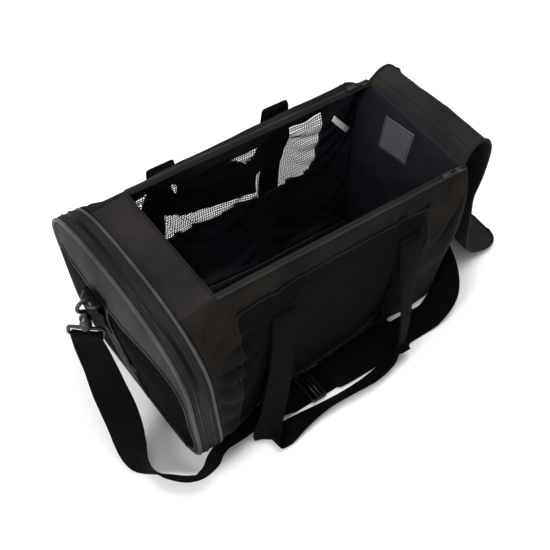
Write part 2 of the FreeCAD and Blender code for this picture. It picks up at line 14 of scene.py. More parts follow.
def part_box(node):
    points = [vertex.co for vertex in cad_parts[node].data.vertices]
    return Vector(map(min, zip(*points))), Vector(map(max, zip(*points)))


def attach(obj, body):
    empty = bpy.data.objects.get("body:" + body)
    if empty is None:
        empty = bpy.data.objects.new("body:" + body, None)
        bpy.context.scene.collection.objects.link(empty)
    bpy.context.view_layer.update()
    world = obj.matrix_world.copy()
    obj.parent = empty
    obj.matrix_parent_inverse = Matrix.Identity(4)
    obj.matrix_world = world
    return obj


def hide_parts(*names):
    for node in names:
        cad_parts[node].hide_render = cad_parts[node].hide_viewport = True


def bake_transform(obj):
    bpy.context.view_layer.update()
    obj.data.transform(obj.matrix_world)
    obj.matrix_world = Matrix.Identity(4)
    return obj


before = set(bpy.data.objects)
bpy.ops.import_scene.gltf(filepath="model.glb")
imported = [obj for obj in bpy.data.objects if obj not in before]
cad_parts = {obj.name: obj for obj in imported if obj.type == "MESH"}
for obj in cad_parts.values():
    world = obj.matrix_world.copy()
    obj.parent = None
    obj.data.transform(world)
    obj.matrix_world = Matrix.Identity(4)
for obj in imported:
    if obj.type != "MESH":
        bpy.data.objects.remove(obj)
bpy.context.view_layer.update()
MM = 0.001


def span(node):
    """Lowest and highest corners of a CAD node in millimetres."""
    low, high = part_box(node)
    return Vector(low) / MM, Vector(high) / MM


# ---------------------------------------------------------------- driving sizes, from the frame
STRIP_HIGH = span("top_strip")[1]
PIPE_HIGH = span("rear_piping")[1]
MESH_LOW, MESH_HIGH = span("left_mesh")

TOP = 283.0                     # height of the rim
OPEN_FRONT = STRIP_HIGH.x       # ends and half width of the top opening
OPEN_REAR = span("rear_panel")[1].x
OPEN_HALF = STRIP_HIGH.y
LEAN = 0.165                    # how far the hoop's foot lies behind its top, per height
CLOTH = 2.0                     # thickness of the walls

CAD_PIPE = 3.0                  # radius of the piping's stand-in
HOOP_HALF = PIPE_HIGH.y - CAD_PIPE
HOOP_CROWN = PIPE_HIGH.z - CAD_PIPE
HOOP_FOOT = 3.0
ARCH_START = 187.0              # height where the hoop's sides begin to curve in
ARCH_POWER = 2.4
CORNER = 72.0                   # radius of the hoop's lower corners
REAR_PIPE = -231.0              # X of the two hoops at the height of the rim
FRONT_PIPE = -262.0
PIPE_RADIUS = 2.5
ZIP_X = 0.5 * (REAR_PIPE + FRONT_PIPE)
HOOP_BACK = REAR_PIPE + 3.6     # where the cloth meets the rear hoop
WEB = 38.0                      # width of the webbing
WEB_THICK = 1.9
FLOOR_GAP = 0.5                 # how far webbing that lies on the floor stays above it


# ---------------------------------------------------------------- small maths
def slopes(xs, ys):
    steps = [(ys[i + 1] - ys[i]) / (xs[i + 1] - xs[i]) for i in range(len(xs) - 1)]
    inner = [0.0 if a * b <= 0 else 2 * a * b / (a + b) for a, b in zip(steps, steps[1:])]
    return [steps[0]] + inner + [steps[-1]]


def smooth_value(x, xs, ys):
    """Monotone cubic interpolation, so a bulge never overshoots its stations."""
    x = min(max(x, xs[0]), xs[-1])
    i = max(k for k in range(len(xs) - 1) if xs[k] <= x)
    m = slopes(xs, ys)
    h = xs[i + 1] - xs[i]
    t = (x - xs[i]) / h
    return ((2 * t ** 3 - 3 * t * t + 1) * ys[i] + (t ** 3 - 2 * t * t + t) * h * m[i]
            + (3 * t * t - 2 * t ** 3) * ys[i + 1] + (t ** 3 - t * t) * h * m[i + 1])


def ease(t, a=0.0, b=1.0):
    """Smooth step from 0 at a to 1 at b."""
    t = min(max((t - a) / (b - a), 0.0), 1.0)
    return t * t * (3 - 2 * t)


def spline(points, per=8):
    """Points along a Catmull-Rom curve through the given points, of any number of values each."""
    p = [np.array(q, float) for q in points]
    p = [2 * p[0] - p[1]] + p + [2 * p[-1] - p[-2]]
    out = []
    for i in range(1, len(p) - 2):
        for k in range(per):
            t = k / per
            a, b, c, d = p[i - 1], p[i], p[i + 1], p[i + 2]
            out.append(0.5 * (2 * b + (c - a) * t + (2 * a - 5 * b + 4 * c - d) * t * t
                              + (3 * b - a - 3 * c + d) * t ** 3))
    out.append(p[-2])
    return out


def evenly(points, step):
    """The same line as points, divided into equal steps."""
    p = np.array(points, float)
    lengths = np.r_[0, np.cumsum(np.linalg.norm(np.diff(p[:, :3], axis=0), axis=1))]
    count = max(2, int(round(lengths[-1] / step)) + 1)
    at = np.linspace(0, lengths[-1], count)
    return np.stack([np.interp(at, lengths, p[:, k]) for k in range(p.shape[1])], axis=1)


def crease(x, y, z, size, seed=0.0):
    """Soft noise of about -1 to 1 with features of the given size."""
    return noise.noise(Vector((x / size + seed, y / size - seed, z / size + 2 * seed)))


def folds(x, y, z, size, seed=0.0):
    """Sharp-crested creases, 0 to 1."""
    return (1 - abs(crease(x, y, z, size, seed))) ** 6


# ---------------------------------------------------------------- materials
class Finish:
    """A node material with one Principled shader, and short ways to add its other nodes."""

    def __init__(self, name):
        self.mat = bpy.data.materials.new(name)
        self.mat.use_nodes = True
        self.nodes, self.links = self.mat.node_tree.nodes, self.mat.node_tree.links
        self.nodes.clear()
        out = self.nodes.new("ShaderNodeOutputMaterial")
        self.shader = self.nodes.new("ShaderNodeBsdfPrincipled")
        self.coord = self.nodes.new("ShaderNodeTexCoord")
        self.links.new(self.shader.outputs[0], out.inputs[0])

    def calc(self, operation, *values):
        node = self.nodes.new("ShaderNodeMath")
        node.operation = operation
        for socket, value in zip(node.inputs, values):
            if isinstance(value, (int, float)):
                socket.default_value = value
            else:
                self.links.new(value, socket)
        return node.outputs[0]

    def cloud(self, scale, detail=2.0, distortion=0.0):
        node = self.nodes.new("ShaderNodeTexNoise")
        for key, value in (("Scale", scale), ("Detail", detail), ("Distortion", distortion)):
            node.inputs[key].default_value = value
        self.links.new(self.coord.outputs["Object"], node.inputs["Vector"])
        return node.outputs["Fac"]

    def bump(self, height, distance):
        node = self.nodes.new("ShaderNodeBump")
        node.inputs["Strength"].default_value = 1.0
        node.inputs["Distance"].default_value = distance
        self.links.new(height, node.inputs["Height"])
        self.set("Normal", node.outputs[0])

    def ramp(self, share, dark, light, ends=(0.0, 1.0)):
        node = self.nodes.new("ShaderNodeValToRGB")
        for stop, colour, position in zip(node.color_ramp.elements, (dark, light), ends):
            stop.position = position
            stop.color = (*colour, 1)
        self.links.new(share, node.inputs[0])
        return node.outputs[0]

    def set(self, name, value):
        """Give the shader a plain value or another node's output."""
        if isinstance(value, bpy.types.NodeSocket):
            self.links.new(value, self.shader.inputs[name])
        else:
            self.shader.inputs[name].default_value = value


def fabric(name, colour, pitch=0.7, rough=0.8, sheen=0.01, weave=0.12, crinkle=0.5,
           crinkle_size=14.0, change=0.3, pattern="plain", space="UV", specular=0.06, tint=None):
    """Woven cloth: threads, creases too small for the mesh, uneven colour, and painted shade that darkens the
    valleys between threads.

    pitch is the thread spacing, and weave and crinkle the heights of the threads and creases, in mm.
    """
    finish = Finish(name)
    split = finish.nodes.new("ShaderNodeSeparateXYZ")
    finish.links.new(finish.coord.outputs[space], split.inputs[0])
    turn = 2 * math.pi / (pitch * MM)
    across = finish.calc("MULTIPLY", split.outputs[0], turn)
    along = finish.calc("MULTIPLY", split.outputs[1], turn)
    if pattern == "rib":
        height = finish.calc("SINE", along)
    else:
        if pattern == "webbing":
            across, along = finish.calc("ADD", across, along), finish.calc("MULTIPLY", across, 0.5)
        height = finish.calc("MULTIPLY", finish.calc("SINE", across), finish.calc("SINE", along))
    threads = finish.calc("MULTIPLY", height, weave)
    creases = finish.calc("MULTIPLY", finish.cloud(1.0 / (crinkle_size * MM), 4.0, 0.6), crinkle)
    finish.bump(finish.calc("ADD", threads, creases), MM)

    dark, light = [c * (1 - change) for c in colour], [c * (1 + change) for c in tint or colour]
    # painted shade: the base colour is darkened where the threads sink and lifted slightly on their crests
    shade = finish.nodes.new("ShaderNodeMix")
    shade.data_type = "RGBA"
    shade.blend_type = "MULTIPLY"
    shade.inputs[0].default_value = 1.0
    finish.links.new(finish.ramp(finish.cloud(14.0, 5.0), dark, light, (0.3, 0.7)), shade.inputs[6])
    finish.links.new(finish.calc("MULTIPLY_ADD", height, 0.22, 0.85), shade.inputs[7])
    finish.set("Base Color", shade.outputs[2])
    finish.set("Roughness", rough)
    finish.set("Specular IOR Level", specular)
    finish.set("Sheen Weight", sheen)
    finish.set("Sheen Roughness", 0.45)
    return finish.mat


def hard(name, colour, rough=0.3, metal=0.0, grain=0.05, grain_size=0.8, coat=0.0, specular=0.5):
    """Moulded plastic, lacquered metal or steel, with a fine grain and slightly uneven gloss."""
    finish = Finish(name)
    finish.bump(finish.cloud(1.0 / (grain_size * MM), 3.0), grain * MM)
    broad = finish.cloud(60.0, 4.0)
    finish.set("Base Color", finish.ramp(broad, [c * 0.75 for c in colour], [c * 1.25 for c in colour]))
    finish.set("Roughness", finish.calc("MULTIPLY_ADD", broad, 0.2, rough - 0.1))
    finish.set("Metallic", metal)
    finish.set("Coat Weight", coat)
    finish.set("Specular IOR Level", specular)
    return finish.mat


OUTER = fabric("outer_polyester", (0.0165, 0.0150, 0.0150), tint=(0.0185, 0.0165, 0.0155), pitch=0.8,
               weave=0.10, crinkle=1.5, crinkle_size=26.0)
# painted shade: the walls' cloth is the outer polyester made darker, as are their net bindings and the flap's
# back face
SIDE_SHADED = fabric("side_polyester_painted_shade", (0.0086, 0.0071, 0.0062), tint=(0.0120, 0.0098, 0.0080), pitch=0.8,
              weave=0.10, crinkle=3.4, crinkle_size=30.0)
# painted light: the door's cloth is the outer polyester made lighter, because the door faces the key lamp
DOOR_LIT = fabric("door_polyester_painted_light", (0.036, 0.033, 0.035), tint=(0.040, 0.036, 0.037), pitch=0.8,
              weave=0.10, crinkle=1.6, crinkle_size=24.0)
LINING = fabric("satin_lining", (0.0092, 0.0092, 0.0138), pitch=0.5, rough=0.5, sheen=0.0,
                weave=0.04, crinkle=2.4, crinkle_size=34.0, specular=0.12, change=0.45)
WEBBING = fabric("nylon_webbing", (0.0028, 0.0022, 0.0023), pitch=2.2, rough=0.75, sheen=0.004,
                 weave=0.25, crinkle=0.2, pattern="webbing", change=0.3, specular=0.03)
PIPING = fabric("corded_piping", (0.040, 0.038, 0.040), pitch=1.4, rough=0.45, sheen=0.02,
                weave=0.10, crinkle=0.3, crinkle_size=9.0, pattern="rib", change=0.5, specular=0.2)
EDGING = fabric("edge_cord", (0.019, 0.018, 0.018), pitch=1.4, rough=0.5, sheen=0.01,
                weave=0.10, crinkle=0.3, crinkle_size=9.0, pattern="rib", change=0.4, specular=0.12)
TAPE = fabric("zip_tape", (0.014, 0.0125, 0.0125), pitch=1.1, rough=0.7, weave=0.12,
              crinkle=0.1, pattern="rib", change=0.15)
YARN = fabric("knitted_mesh", (0.0042, 0.0036, 0.0040), pitch=0.6, rough=0.7, weave=0.05,
              crinkle=0.05, change=0.2, specular=0.05, sheen=0.0)
DOOR_YARN = fabric("door_mesh", (0.0030, 0.0026, 0.0028), pitch=0.6, rough=0.8, weave=0.05,
                   crinkle=0.05, change=0.2, specular=0.02, sheen=0.0)
MATTING = fabric("quilted_mat", (0.0035, 0.0035, 0.0052), pitch=0.8, weave=0.12, crinkle=0.8)
LABEL = fabric("label_satin", (0.072, 0.070, 0.080), pitch=0.6, rough=0.5, weave=0.05,
               crinkle=0.4, change=0.1)
TAG = fabric("tag_satin", (0.66, 0.66, 0.65), pitch=0.6, rough=0.5, sheen=0.1, weave=0.05,
             crinkle=0.2, change=0.04, specular=0.3)
THREAD = fabric("thread", (0.020, 0.018, 0.019), pitch=0.5, rough=0.6, sheen=0.02, weave=0.05,
                crinkle=0.05, space="Object")
COIL = hard("zip_coil", (0.0045, 0.0045, 0.0048), rough=0.4, specular=0.2)
PLASTIC = hard("black_acetal", (0.006, 0.006, 0.0063), rough=0.3, coat=0.05, specular=0.3)
METAL = hard("lacquered_zinc", (0.03, 0.03, 0.032), rough=0.3, metal=0.7)
STEEL = hard("spring_steel", (0.5, 0.5, 0.52), rough=0.35, metal=1.0)
BOARD = hard("board_plastic", (0.01, 0.01, 0.0105), rough=0.55, grain=0.2, grain_size=3.0,
             specular=0.2)


# ---------------------------------------------------------------- mesh builders
def make(name, verts, faces, uvs=None, mats=(OUTER,), smooth=True):
    """An object from points in millimetres, with a UV per vertex in millimetres too."""
    mesh = bpy.data.meshes.new(name)
    mesh.from_pydata([tuple(float(c) * MM for c in v) for v in verts], [], faces)
    if uvs is not None:
        layer = mesh.uv_layers.new(name="UVMap")
        flat = np.array([uvs[loop.vertex_index] for loop in mesh.loops], np.float32) * MM
        layer.data.foreach_set("uv", flat.ravel())
    for mat in mats:
        mesh.materials.append(mat)
    mesh.polygons.foreach_set("use_smooth", [smooth] * len(mesh.polygons))
    mesh.update()
    obj = bpy.data.objects.new(name, mesh)
    bpy.context.scene.collection.objects.link(obj)
    return obj


def apply_modifiers(obj):
    bpy.context.view_layer.update()
    graph = bpy.context.evaluated_depsgraph_get()
    mesh = bpy.data.meshes.new_from_object(obj.evaluated_get(graph))
    obj.modifiers.clear()
    old = obj.data
    obj.data = mesh
    bpy.data.meshes.remove(old)
    return obj


def grid_uv(points):
    """UV in millimetres that follows the sheet's own lengths; points is rows x columns x 3."""
    across = np.linalg.norm(np.diff(points, axis=1), axis=2)
    along = np.linalg.norm(np.diff(points, axis=0), axis=2)
    u = np.concatenate([np.zeros((points.shape[0], 1)), np.cumsum(across, axis=1)], axis=1)
    v = np.concatenate([np.zeros((1, points.shape[1])), np.cumsum(along, axis=0)], axis=0)
    return np.stack([u, v], axis=2).reshape(-1, 2)


def grid_of(rows, cols, spot):
    """Rows of points; spot takes the shares from 0 to 1 along a row and up the rows."""
    return [[spot(c / (cols - 1), r / (rows - 1)) for c in range(cols)] for r in range(rows)]


def grid_faces(rows, cols, wrap=False, keep=None):
    faces = []
    for r in range(rows - 1):
        for c in range(cols - (0 if wrap else 1)):
            if keep is None or keep(r, c):
                d = (c + 1) % cols
                faces.append((r * cols + c, r * cols + d, (r + 1) * cols + d, (r + 1) * cols + c))
    return faces


def skin(rings, sides, closed=False, first=0):
    """Faces over rings of vertices, with an end cap on each end unless it closes on itself."""
    faces = []
    for i in range(rings if closed else rings - 1):
        a, b = first + i * sides, first + (i + 1) % rings * sides
        for k in range(sides):
            m = (k + 1) % sides
            faces.append((a + k, a + m, b + m, b + k))
    if not closed:
        faces.append(tuple(range(first, first + sides))[::-1])
        faces.append(tuple(range(first + (rings - 1) * sides, first + rings * sides)))
    return faces


def sheet(name, points, mats=(OUTER,), thick=CLOTH, keep=None, wrap=False, flip=False):
    """A sheet of cloth from a grid of points; its thickness goes to the back of the faces."""
    points = np.array(points, float)
    faces = grid_faces(*points.shape[:2], wrap, keep)
    if flip:
        faces = [f[::-1] for f in faces]
    obj = make(name, points.reshape(-1, 3), faces, grid_uv(points), mats)
    shell = obj.modifiers.new("thickness", "SOLIDIFY")
    shell.thickness = thick * MM
    shell.offset = -1.0
    shell.use_rim = True
    if len(mats) > 1:
        shell.material_offset = 1
    drop_loose(obj)
    return apply_modifiers(obj)


def drop_loose(obj):
    """Delete the vertices that no face uses."""
    work = bmesh.new()
    work.from_mesh(obj.data)
    loose = [v for v in work.verts if not v.link_faces]
    if loose:
        bmesh.ops.delete(work, geom=loose, context="VERTS")
        work.to_mesh(obj.data)
    work.free()


def cushion(name, rows, cols, spot, mat):
    """A closed piece; spot gives the upper and the lower point at each place of its grid."""
    pairs = np.array(grid_of(rows, cols, spot)).reshape(-1, 2, 3)
    verts = np.concatenate([pairs[:, 0], pairs[:, 1]])
    count = rows * cols
    faces = grid_faces(rows, cols)
    faces += [tuple(i + count for i in f[::-1]) for f in faces]
    border = ([(0, c) for c in range(cols - 1)] + [(r, cols - 1) for r in range(rows - 1)]
              + [(rows - 1, c) for c in range(cols - 1, 0, -1)] + [(r, 0) for r in range(rows - 1, 0, -1)])
    ids = [r * cols + c for r, c in border]
    faces += [(j, i, i + count, j + count) for i, j in zip(ids, ids[1:] + ids[:1])]
    return make(name, verts, faces, verts[:, :2], (mat,))


def tube(name, path, radius, mat=PIPING, closed=False, sides=10, flat=1.0, up=(0, 0, 1)):
    """A round or flattened tube along points; radius may be a function of the share of the way."""
    p = np.array(path, float)
    n = len(p)
    verts, uvs = [], []
    length = 0.0
    for i in range(n):
        a = p[i - 1] if (closed or i > 0) else p[i]
        b = p[(i + 1) % n] if (closed or i < n - 1) else p[i]
        along = Vector(b - a).normalized()
        side = along.cross(Vector(up)).normalized()
        top = side.cross(along)
        if i:
            length += float(np.linalg.norm(p[i] - p[i - 1]))
        r = radius(i / (n - 1)) if callable(radius) else radius
        for k in range(sides):
            angle = 2 * math.pi * k / sides
            verts.append(Vector(p[i]) + side * (r * math.cos(angle)) + top * (r * flat * math.sin(angle)))
            uvs.append((r * angle, length))
    return make(name, verts, skin(n, sides, closed), uvs, (mat,))


def lathe(name, profile, centre, mat, sides=24):
    """A turned piece from (radius, height) steps."""
    verts = []
    for r, z in profile:
        for k in range(sides):
            a = 2 * math.pi * k / sides
            verts.append((centre[0] + r * math.cos(a), centre[1] + r * math.sin(a), centre[2] + z))
    return make(name, verts, skin(len(profile), sides), [(v[0], v[2]) for v in verts], (mat,))


# half of webbing's section, as shares of its width and thickness; the other half is turned round
WEB_HALF = [(-0.5, -0.25), (-0.47, -0.5), (-0.25, -0.5), (0.0, -0.5), (0.25, -0.5), (0.47, -0.5),
            (0.5, -0.25)]
WEB_SECTION = WEB_HALF + [(-a, -b) for a, b in WEB_HALF]


def ribbon(name, frames, width=WEB, thick=WEB_THICK, curl=0.0, step=4.0, part=(0.0, 1.0)):
    """Flat webbing through frames of (centre, width direction, optional width factor).

    part is the share of its length that is made, so that two pieces can meet without a step.
    """
    rows = [(*c, *Vector(w).normalized(), rest[0] if rest else 1.0) for c, w, *rest in frames]
    p = evenly(spline(rows), step)
    n = len(p)
    verts, uvs = [], []
    length = 0.0
    made = range(int(round(part[0] * (n - 1))), int(round(part[1] * (n - 1))) + 1)
    for i in made:
        along = Vector(p[min(i + 1, n - 1), :3] - p[max(i - 1, 0), :3]).normalized()
        wide = Vector(p[i, 3:6])
        wide = (wide - along * wide.dot(along)).normalized()
        up = along.cross(wide)
        if i:
            length += float(np.linalg.norm(p[i, :3] - p[i - 1, :3]))
        for a, b in WEB_SECTION:
            w = width * p[i, 6] * a
            bow = curl * (4 * a * a - 0.3)
            corner = Vector(p[i, :3]) + wide * w + up * (thick * b + bow)
            # on the floor the lower face stays one gap above it, and the upper face three
            corner.z = max(corner.z, FLOOR_GAP * (2.0 + 2.0 * b))
            verts.append(corner)
            uvs.append((w, length + (0.5 if b > 0 else 0)))
    return make(name, verts, skin(len(made), len(WEB_SECTION)), uvs, (WEBBING,))


STITCH_RADIUS = 0.35
STITCH_SIDES = 5
STITCH_RINGS = ((-0.5, 0.35), (-0.3, 1.0), (0.3, 1.0), (0.5, 0.35))


def stitches(name, paths, pitch=3.2, length=2.2):
    """Rows of short raised stitches along several paths, as one object."""
    verts, faces, uvs = [], [], []
    for path in paths:
        p = evenly(path, pitch)
        for a, b in zip(p[:-1], p[1:]):
            along = Vector(b[:3] - a[:3]).normalized()
            side = along.orthogonal().normalized()
            top = side.cross(along)
            middle = Vector(a[:3]) + along * (pitch / 2)
            faces += skin(len(STITCH_RINGS), STITCH_SIDES, first=len(verts))
            for end, r in STITCH_RINGS:
                for k in range(STITCH_SIDES):
                    angle = 2 * math.pi * k / STITCH_SIDES
                    offset = side * math.cos(angle) + top * math.sin(angle)
                    verts.append(middle + along * (end * length) + offset * (STITCH_RADIUS * r))
                    uvs.append((0, end * length))
    return make(name, verts, faces, uvs, (THREAD,))


BLOCK_FACES = ((0, 1, 2, 3), (7, 6, 5, 4), (0, 4, 5, 1), (1, 5, 6, 2), (2, 6, 7, 3), (3, 7, 4, 0))


def teeth(name, corners):
    """Zip teeth as one object, from eight corners each."""
    faces = [tuple(first + i for i in f) for first in range(0, len(corners), 8) for f in BLOCK_FACES]
    return make(name, corners, faces, [(v[0], v[1]) for v in corners], (COIL,), smooth=False)


def box_mesh(name, size, centre, mat, bevel=0.6, turn=None):
    """A block with rounded edges."""
    x, y, z = (s / 2 for s in size)
    verts = [Vector((a * x, b * y, c * z)) for a in (-1, 1) for b in (-1, 1) for c in (-1, 1)]
    faces = [(0, 1, 3, 2), (4, 6, 7, 5), (0, 4, 5, 1), (2, 3, 7, 6), (0, 2, 6, 4), (1, 5, 7, 3)]
    obj = make(name, verts, faces, [(v.x + v.z, v.y) for v in verts], (mat,))
    edge = obj.modifiers.new("round", "BEVEL")
    edge.width = bevel * MM
    edge.segments = 3
    apply_modifiers(obj)
    matrix = Matrix.Translation(Vector(centre) * MM)
    if turn is not None:
        matrix = matrix @ turn.to_4x4()
    obj.data.transform(matrix)
    return obj


def join(name, objects):
    """Several meshes as one piece."""
    bpy.ops.object.select_all(action="DESELECT")
    for obj in objects:
        obj.select_set(True)
    bpy.context.view_layer.objects.active = objects[0]
    bpy.ops.object.join()
    joined = bpy.context.view_layer.objects.active
    joined.name = name
    joined.data.name = name
    return joined


def place(obj, body, slot, *nodes):
    """Ride on a body and stand for CAD nodes; slot is not used."""
    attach(obj, body)
    if nodes:
        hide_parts(*nodes)


SETTLE_FRAMES = 22
SETTLE_STIFF = 12.0


def settle(obj, pins, cap, stretch):
    """Let a pinned sheet sag and buckle as cloth, and keep the result within cap millimetres."""
    rest = np.array([v.co[:] for v in obj.data.vertices])
    group = obj.vertex_groups.new(name="pins")
    for index, weight in pins.items():
        group.add([index], weight, "REPLACE")
    cloth = obj.modifiers.new("cloth", "CLOTH")
    setting = cloth.settings
    setting.quality = 6
    setting.mass = 0.25
    setting.tension_stiffness = setting.compression_stiffness = SETTLE_STIFF
    setting.shear_stiffness = SETTLE_STIFF * 0.4
    setting.bending_stiffness = 0.4
    setting.vertex_group_mass = "pins"
    setting.shrink_min = -stretch
    cloth.collision_settings.use_collision = False
    cloth.point_cache.frame_start = 1
    cloth.point_cache.frame_end = SETTLE_FRAMES
    scene = bpy.context.scene
    for number in range(1, SETTLE_FRAMES + 1):
        scene.frame_set(number)
    graph = bpy.context.evaluated_depsgraph_get()
    mesh = obj.evaluated_get(graph).to_mesh()
    moved = np.array([v.co[:] for v in mesh.vertices])
    obj.evaluated_get(graph).to_mesh_clear()
    obj.modifiers.clear()
    obj.vertex_groups.clear()
    scene.frame_set(1)
    shift = moved - rest
    size = np.linalg.norm(shift, axis=1, keepdims=True)
    limit = cap * MM
    shift *= np.minimum(1.0, limit * np.tanh(size / limit) / np.maximum(size, 1e-9))
    obj.data.vertices.foreach_set("co", (rest + shift).ravel())
    obj.data.update()


# ---------------------------------------------------------------- the bag's surface
def lean_x(x_top, z):
    """X at height z in the hoop's plane that crosses the rim's height at x_top."""
    return x_top + LEAN * (TOP - z)


def hoop_width(z):
    """Half width of the hoop at height z: round corners, straight sides and an arch."""
    low = HOOP_FOOT + CORNER
    if z < low:
        drop = min(CORNER, low - z)
        return HOOP_HALF - CORNER + math.sqrt(CORNER ** 2 - drop ** 2)
    if z <= ARCH_START:
        return HOOP_HALF
    part = 1.0 - ((z - ARCH_START) / (HOOP_CROWN - ARCH_START)) ** ARCH_POWER
    return HOOP_HALF * max(0.0, part) ** (1.0 / ARCH_POWER)


def hoop_height(y):
    """Height of the hoop's arch at y."""
    part = max(0.0, 1.0 - (abs(y) / HOOP_HALF) ** ARCH_POWER)
    return ARCH_START + (HOOP_CROWN - ARCH_START) * part ** (1.0 / ARCH_POWER)


def hoop_loop(count=220):
    """Even points (y, z, outward y, outward z) round the hoop, from the middle of its foot."""
    half = [(0.0, HOOP_FOOT), (HOOP_HALF - CORNER, HOOP_FOOT)]
    for step in range(1, 13):
        angle = math.radians(-90 + 7.5 * step)
        half.append((HOOP_HALF - CORNER + CORNER * math.cos(angle),
                     HOOP_FOOT + CORNER + CORNER * math.sin(angle)))
    for step in range(0, 31):
        angle = math.radians(3.0 * step)
        power = 2.0 / ARCH_POWER
        half.append((HOOP_HALF * max(0.0, math.cos(angle)) ** power,
                     ARCH_START + (HOOP_CROWN - ARCH_START) * math.sin(angle) ** power))
    loop = [(0, -y, z) for y, z in half] + [(0, y, z) for y, z in half[::-1]]
    p = evenly(loop, 0.4)
    p = evenly(loop, np.sum(np.linalg.norm(np.diff(p, axis=0), axis=1)) / count)[:-1]
    out = []
    for i in range(len(p)):
        d = p[(i + 1) % len(p)] - p[i - 1]
        size = math.hypot(d[1], d[2])
        out.append((p[i][1], p[i][2], -d[2] / size, d[1] / size))
    return out


HOOP = hoop_loop()
HOOP_LOWEST = 1.8


def hoop_point(i, x_top, out=0.0):
    """Point i of a hoop, moved outward from its outline but kept off the floor."""
    y, z, ny, nz = HOOP[i % len(HOOP)]
    z = max(z + nz * out, HOOP_LOWEST)
    return (lean_x(x_top, z), y + ny * out, z)


# heights up the walls
LEVELS = [3.2, 12.0, 35.0, 100.0, 187.0, 235.0, 262.0, TOP]
# half widths of the walls at those heights, by X
WIDTHS = {-178.0: [118, 126, 136, 141, 140, 130, 113, 97], -80.0: [99, 104, 112, 121, 124, 118, 108, 97],
          60.0: [91, 96, 103, 112, 116, 112, 105, 97], 215.0: [94, 97, 100, 105, 114, 112, 106, 97]}
WALL_ROWS = 64
WALL_COLS = 116


def wall_point(x_part, z_part):
    """A point of the left wall; z_part runs up the wall and x_part from the hoop to the rear."""
    z = LEVELS[0] + (TOP - LEVELS[0]) * z_part
    hoop_z = z - (TOP - hoop_height(OPEN_HALF)) * ease(z, ARCH_START, TOP)
    hoop_x = lean_x(HOOP_BACK, hoop_z)
    hoop_y = max(hoop_width(hoop_z), OPEN_HALF) if z < TOP - 1 else OPEN_HALF
    second = max(OPEN_FRONT, hoop_x + 42)
    share = (second - OPEN_FRONT) / (-80.0 - OPEN_FRONT)
    at = {x: smooth_value(z, LEVELS, w) for x, w in WIDTHS.items()}
    xs = [hoop_x, second, -80.0, 60.0, 215.0]
    ys = [hoop_y, at[-178.0] + share * (at[-80.0] - at[-178.0]), at[-80.0], at[60.0], at[215.0]]
    zs = [hoop_z, z, z, z, z]
    x = hoop_x + (OPEN_REAR - 1 - hoop_x) * x_part
    return x, smooth_value(x, xs, ys), smooth_value(x, xs, zs)


def wall_width(x, z):
    """Half width of the finished wall, well behind the hoop."""
    at = [smooth_value(z, LEVELS, w) for w in WIDTHS.values()]
    return smooth_value(x, list(WIDTHS), at)


# (start, end, height, width) of each pleat, as places (x, z) on a wall
PLEATS = [((-222, 218), (-118, 232), 4.2, 6.0), ((-222, 214), (-112, 192), 5.0, 6.5),
          ((-220, 205), (-128, 150), 4.2, 6.0), ((-212, 180), (-150, 100), 3.6, 6.0),
          ((-70, 266), (55, 252), 2.2, 8.0), ((206, 264), (166, 150), 4.2, 7.0),
          ((214, 205), (184, 92), 3.2, 7.0), ((120, 262), (172, 240), 2.4, 7.0),
          ((-196, 70), (-120, 44), 3.2, 8.0), ((90, 60), (190, 30), 2.4, 9.0)]


def pleats(x, z, mirror):
    """Ridges pulled from the corners, strongest where they start."""
    lift = 0.0
    for (x0, z0), (x1, z1), height, width in PLEATS:
        if mirror:
            x0, x1, z0, z1 = x0 + 6, x1 + 26, z0 - 9, z1 + 7
        dx, dz = x1 - x0, z1 - z0
        along = min(max(((x - x0) * dx + (z - z0) * dz) / (dx * dx + dz * dz), 0.0), 1.0)
        off = math.hypot(x - x0 - along * dx, z - z0 - along * dz)
        crest, trough = math.exp(-(off / width) ** 2), math.exp(-((off - 2 * width) / width) ** 2)
        lift += 2.0 * height * (1 - along) ** 0.7 * (crest - 0.45 * trough)
    return lift


def roll(x, z_part):
    """Rise and spread of the left wall's slack top edge, which rolls outward over the zip."""
    bump = ease(z_part, 0.80, 0.93) * ease(1 - z_part, 0.0, 0.055)
    bump *= ease(OPEN_REAR - x, 0.0, 34.0)
    return bump * (3 + 14 * ease(x, -150, 120)), 14.0 * bump * ease(x, -200, -60)


def wall_wrinkle(x, y, z, side, x_part, z_part):
    """How far cloth stands off the smooth wall, fading out at its seams."""
    edge = ease(z_part, 0.0, 0.08) * ease(1 - z_part, 0.0, 0.07)
    edge *= ease(x_part, 0.0, 0.05) * ease(1 - x_part, 0.0, 0.05)
    seed = 3.1 if side > 0 else 8.4
    sag = 2.6 * crease(x, y, z, 75, seed) + 1.2 * crease(x, y, z, 32, seed)
    sharp = 2.2 * folds(x + 0.7 * z, y, z - 0.5 * x, 58, seed) * ease(-x, -140, 180)
    return edge * (sag + sharp + pleats(x, z, side > 0))


def wall_grid(side):
    def spot(u, v):
        x, y, z = wall_point(u, v)
        y += wall_wrinkle(x, y, z, side, u, v)
        if side > 0:
            rise, spread = roll(x, v)
            y, z = y + spread, z + rise
        return x, side * y, z
    return np.array(grid_of(WALL_ROWS, WALL_COLS, spot))


WINDOW = (MESH_LOW.x + 4, MESH_HIGH.x, MESH_LOW.z + 1, MESH_HIGH.z)
WINDOW_CORNER = 14.0
LEFT_TILT = 0.07                # the left window climbs to the rear
PANEL_LOW = 48.0
LEGS = {"left": (-113.0, 70.0), "right": (-94.0, 120.0)}
SIDES = (("left", 1), ("right", -1))
WALL_SURFACE = {}


def in_window(x, z, tilt):
    """Whether a place on a wall is inside its window's rounded opening."""
    x0, x1, z0, z1 = WINDOW
    z -= tilt * x
    dx = max(x0 + WINDOW_CORNER - x, x - x1 + WINDOW_CORNER, 0)
    dz = max(z0 + WINDOW_CORNER - z, z - z1 + WINDOW_CORNER, 0)
    return math.hypot(dx, dz) < WINDOW_CORNER


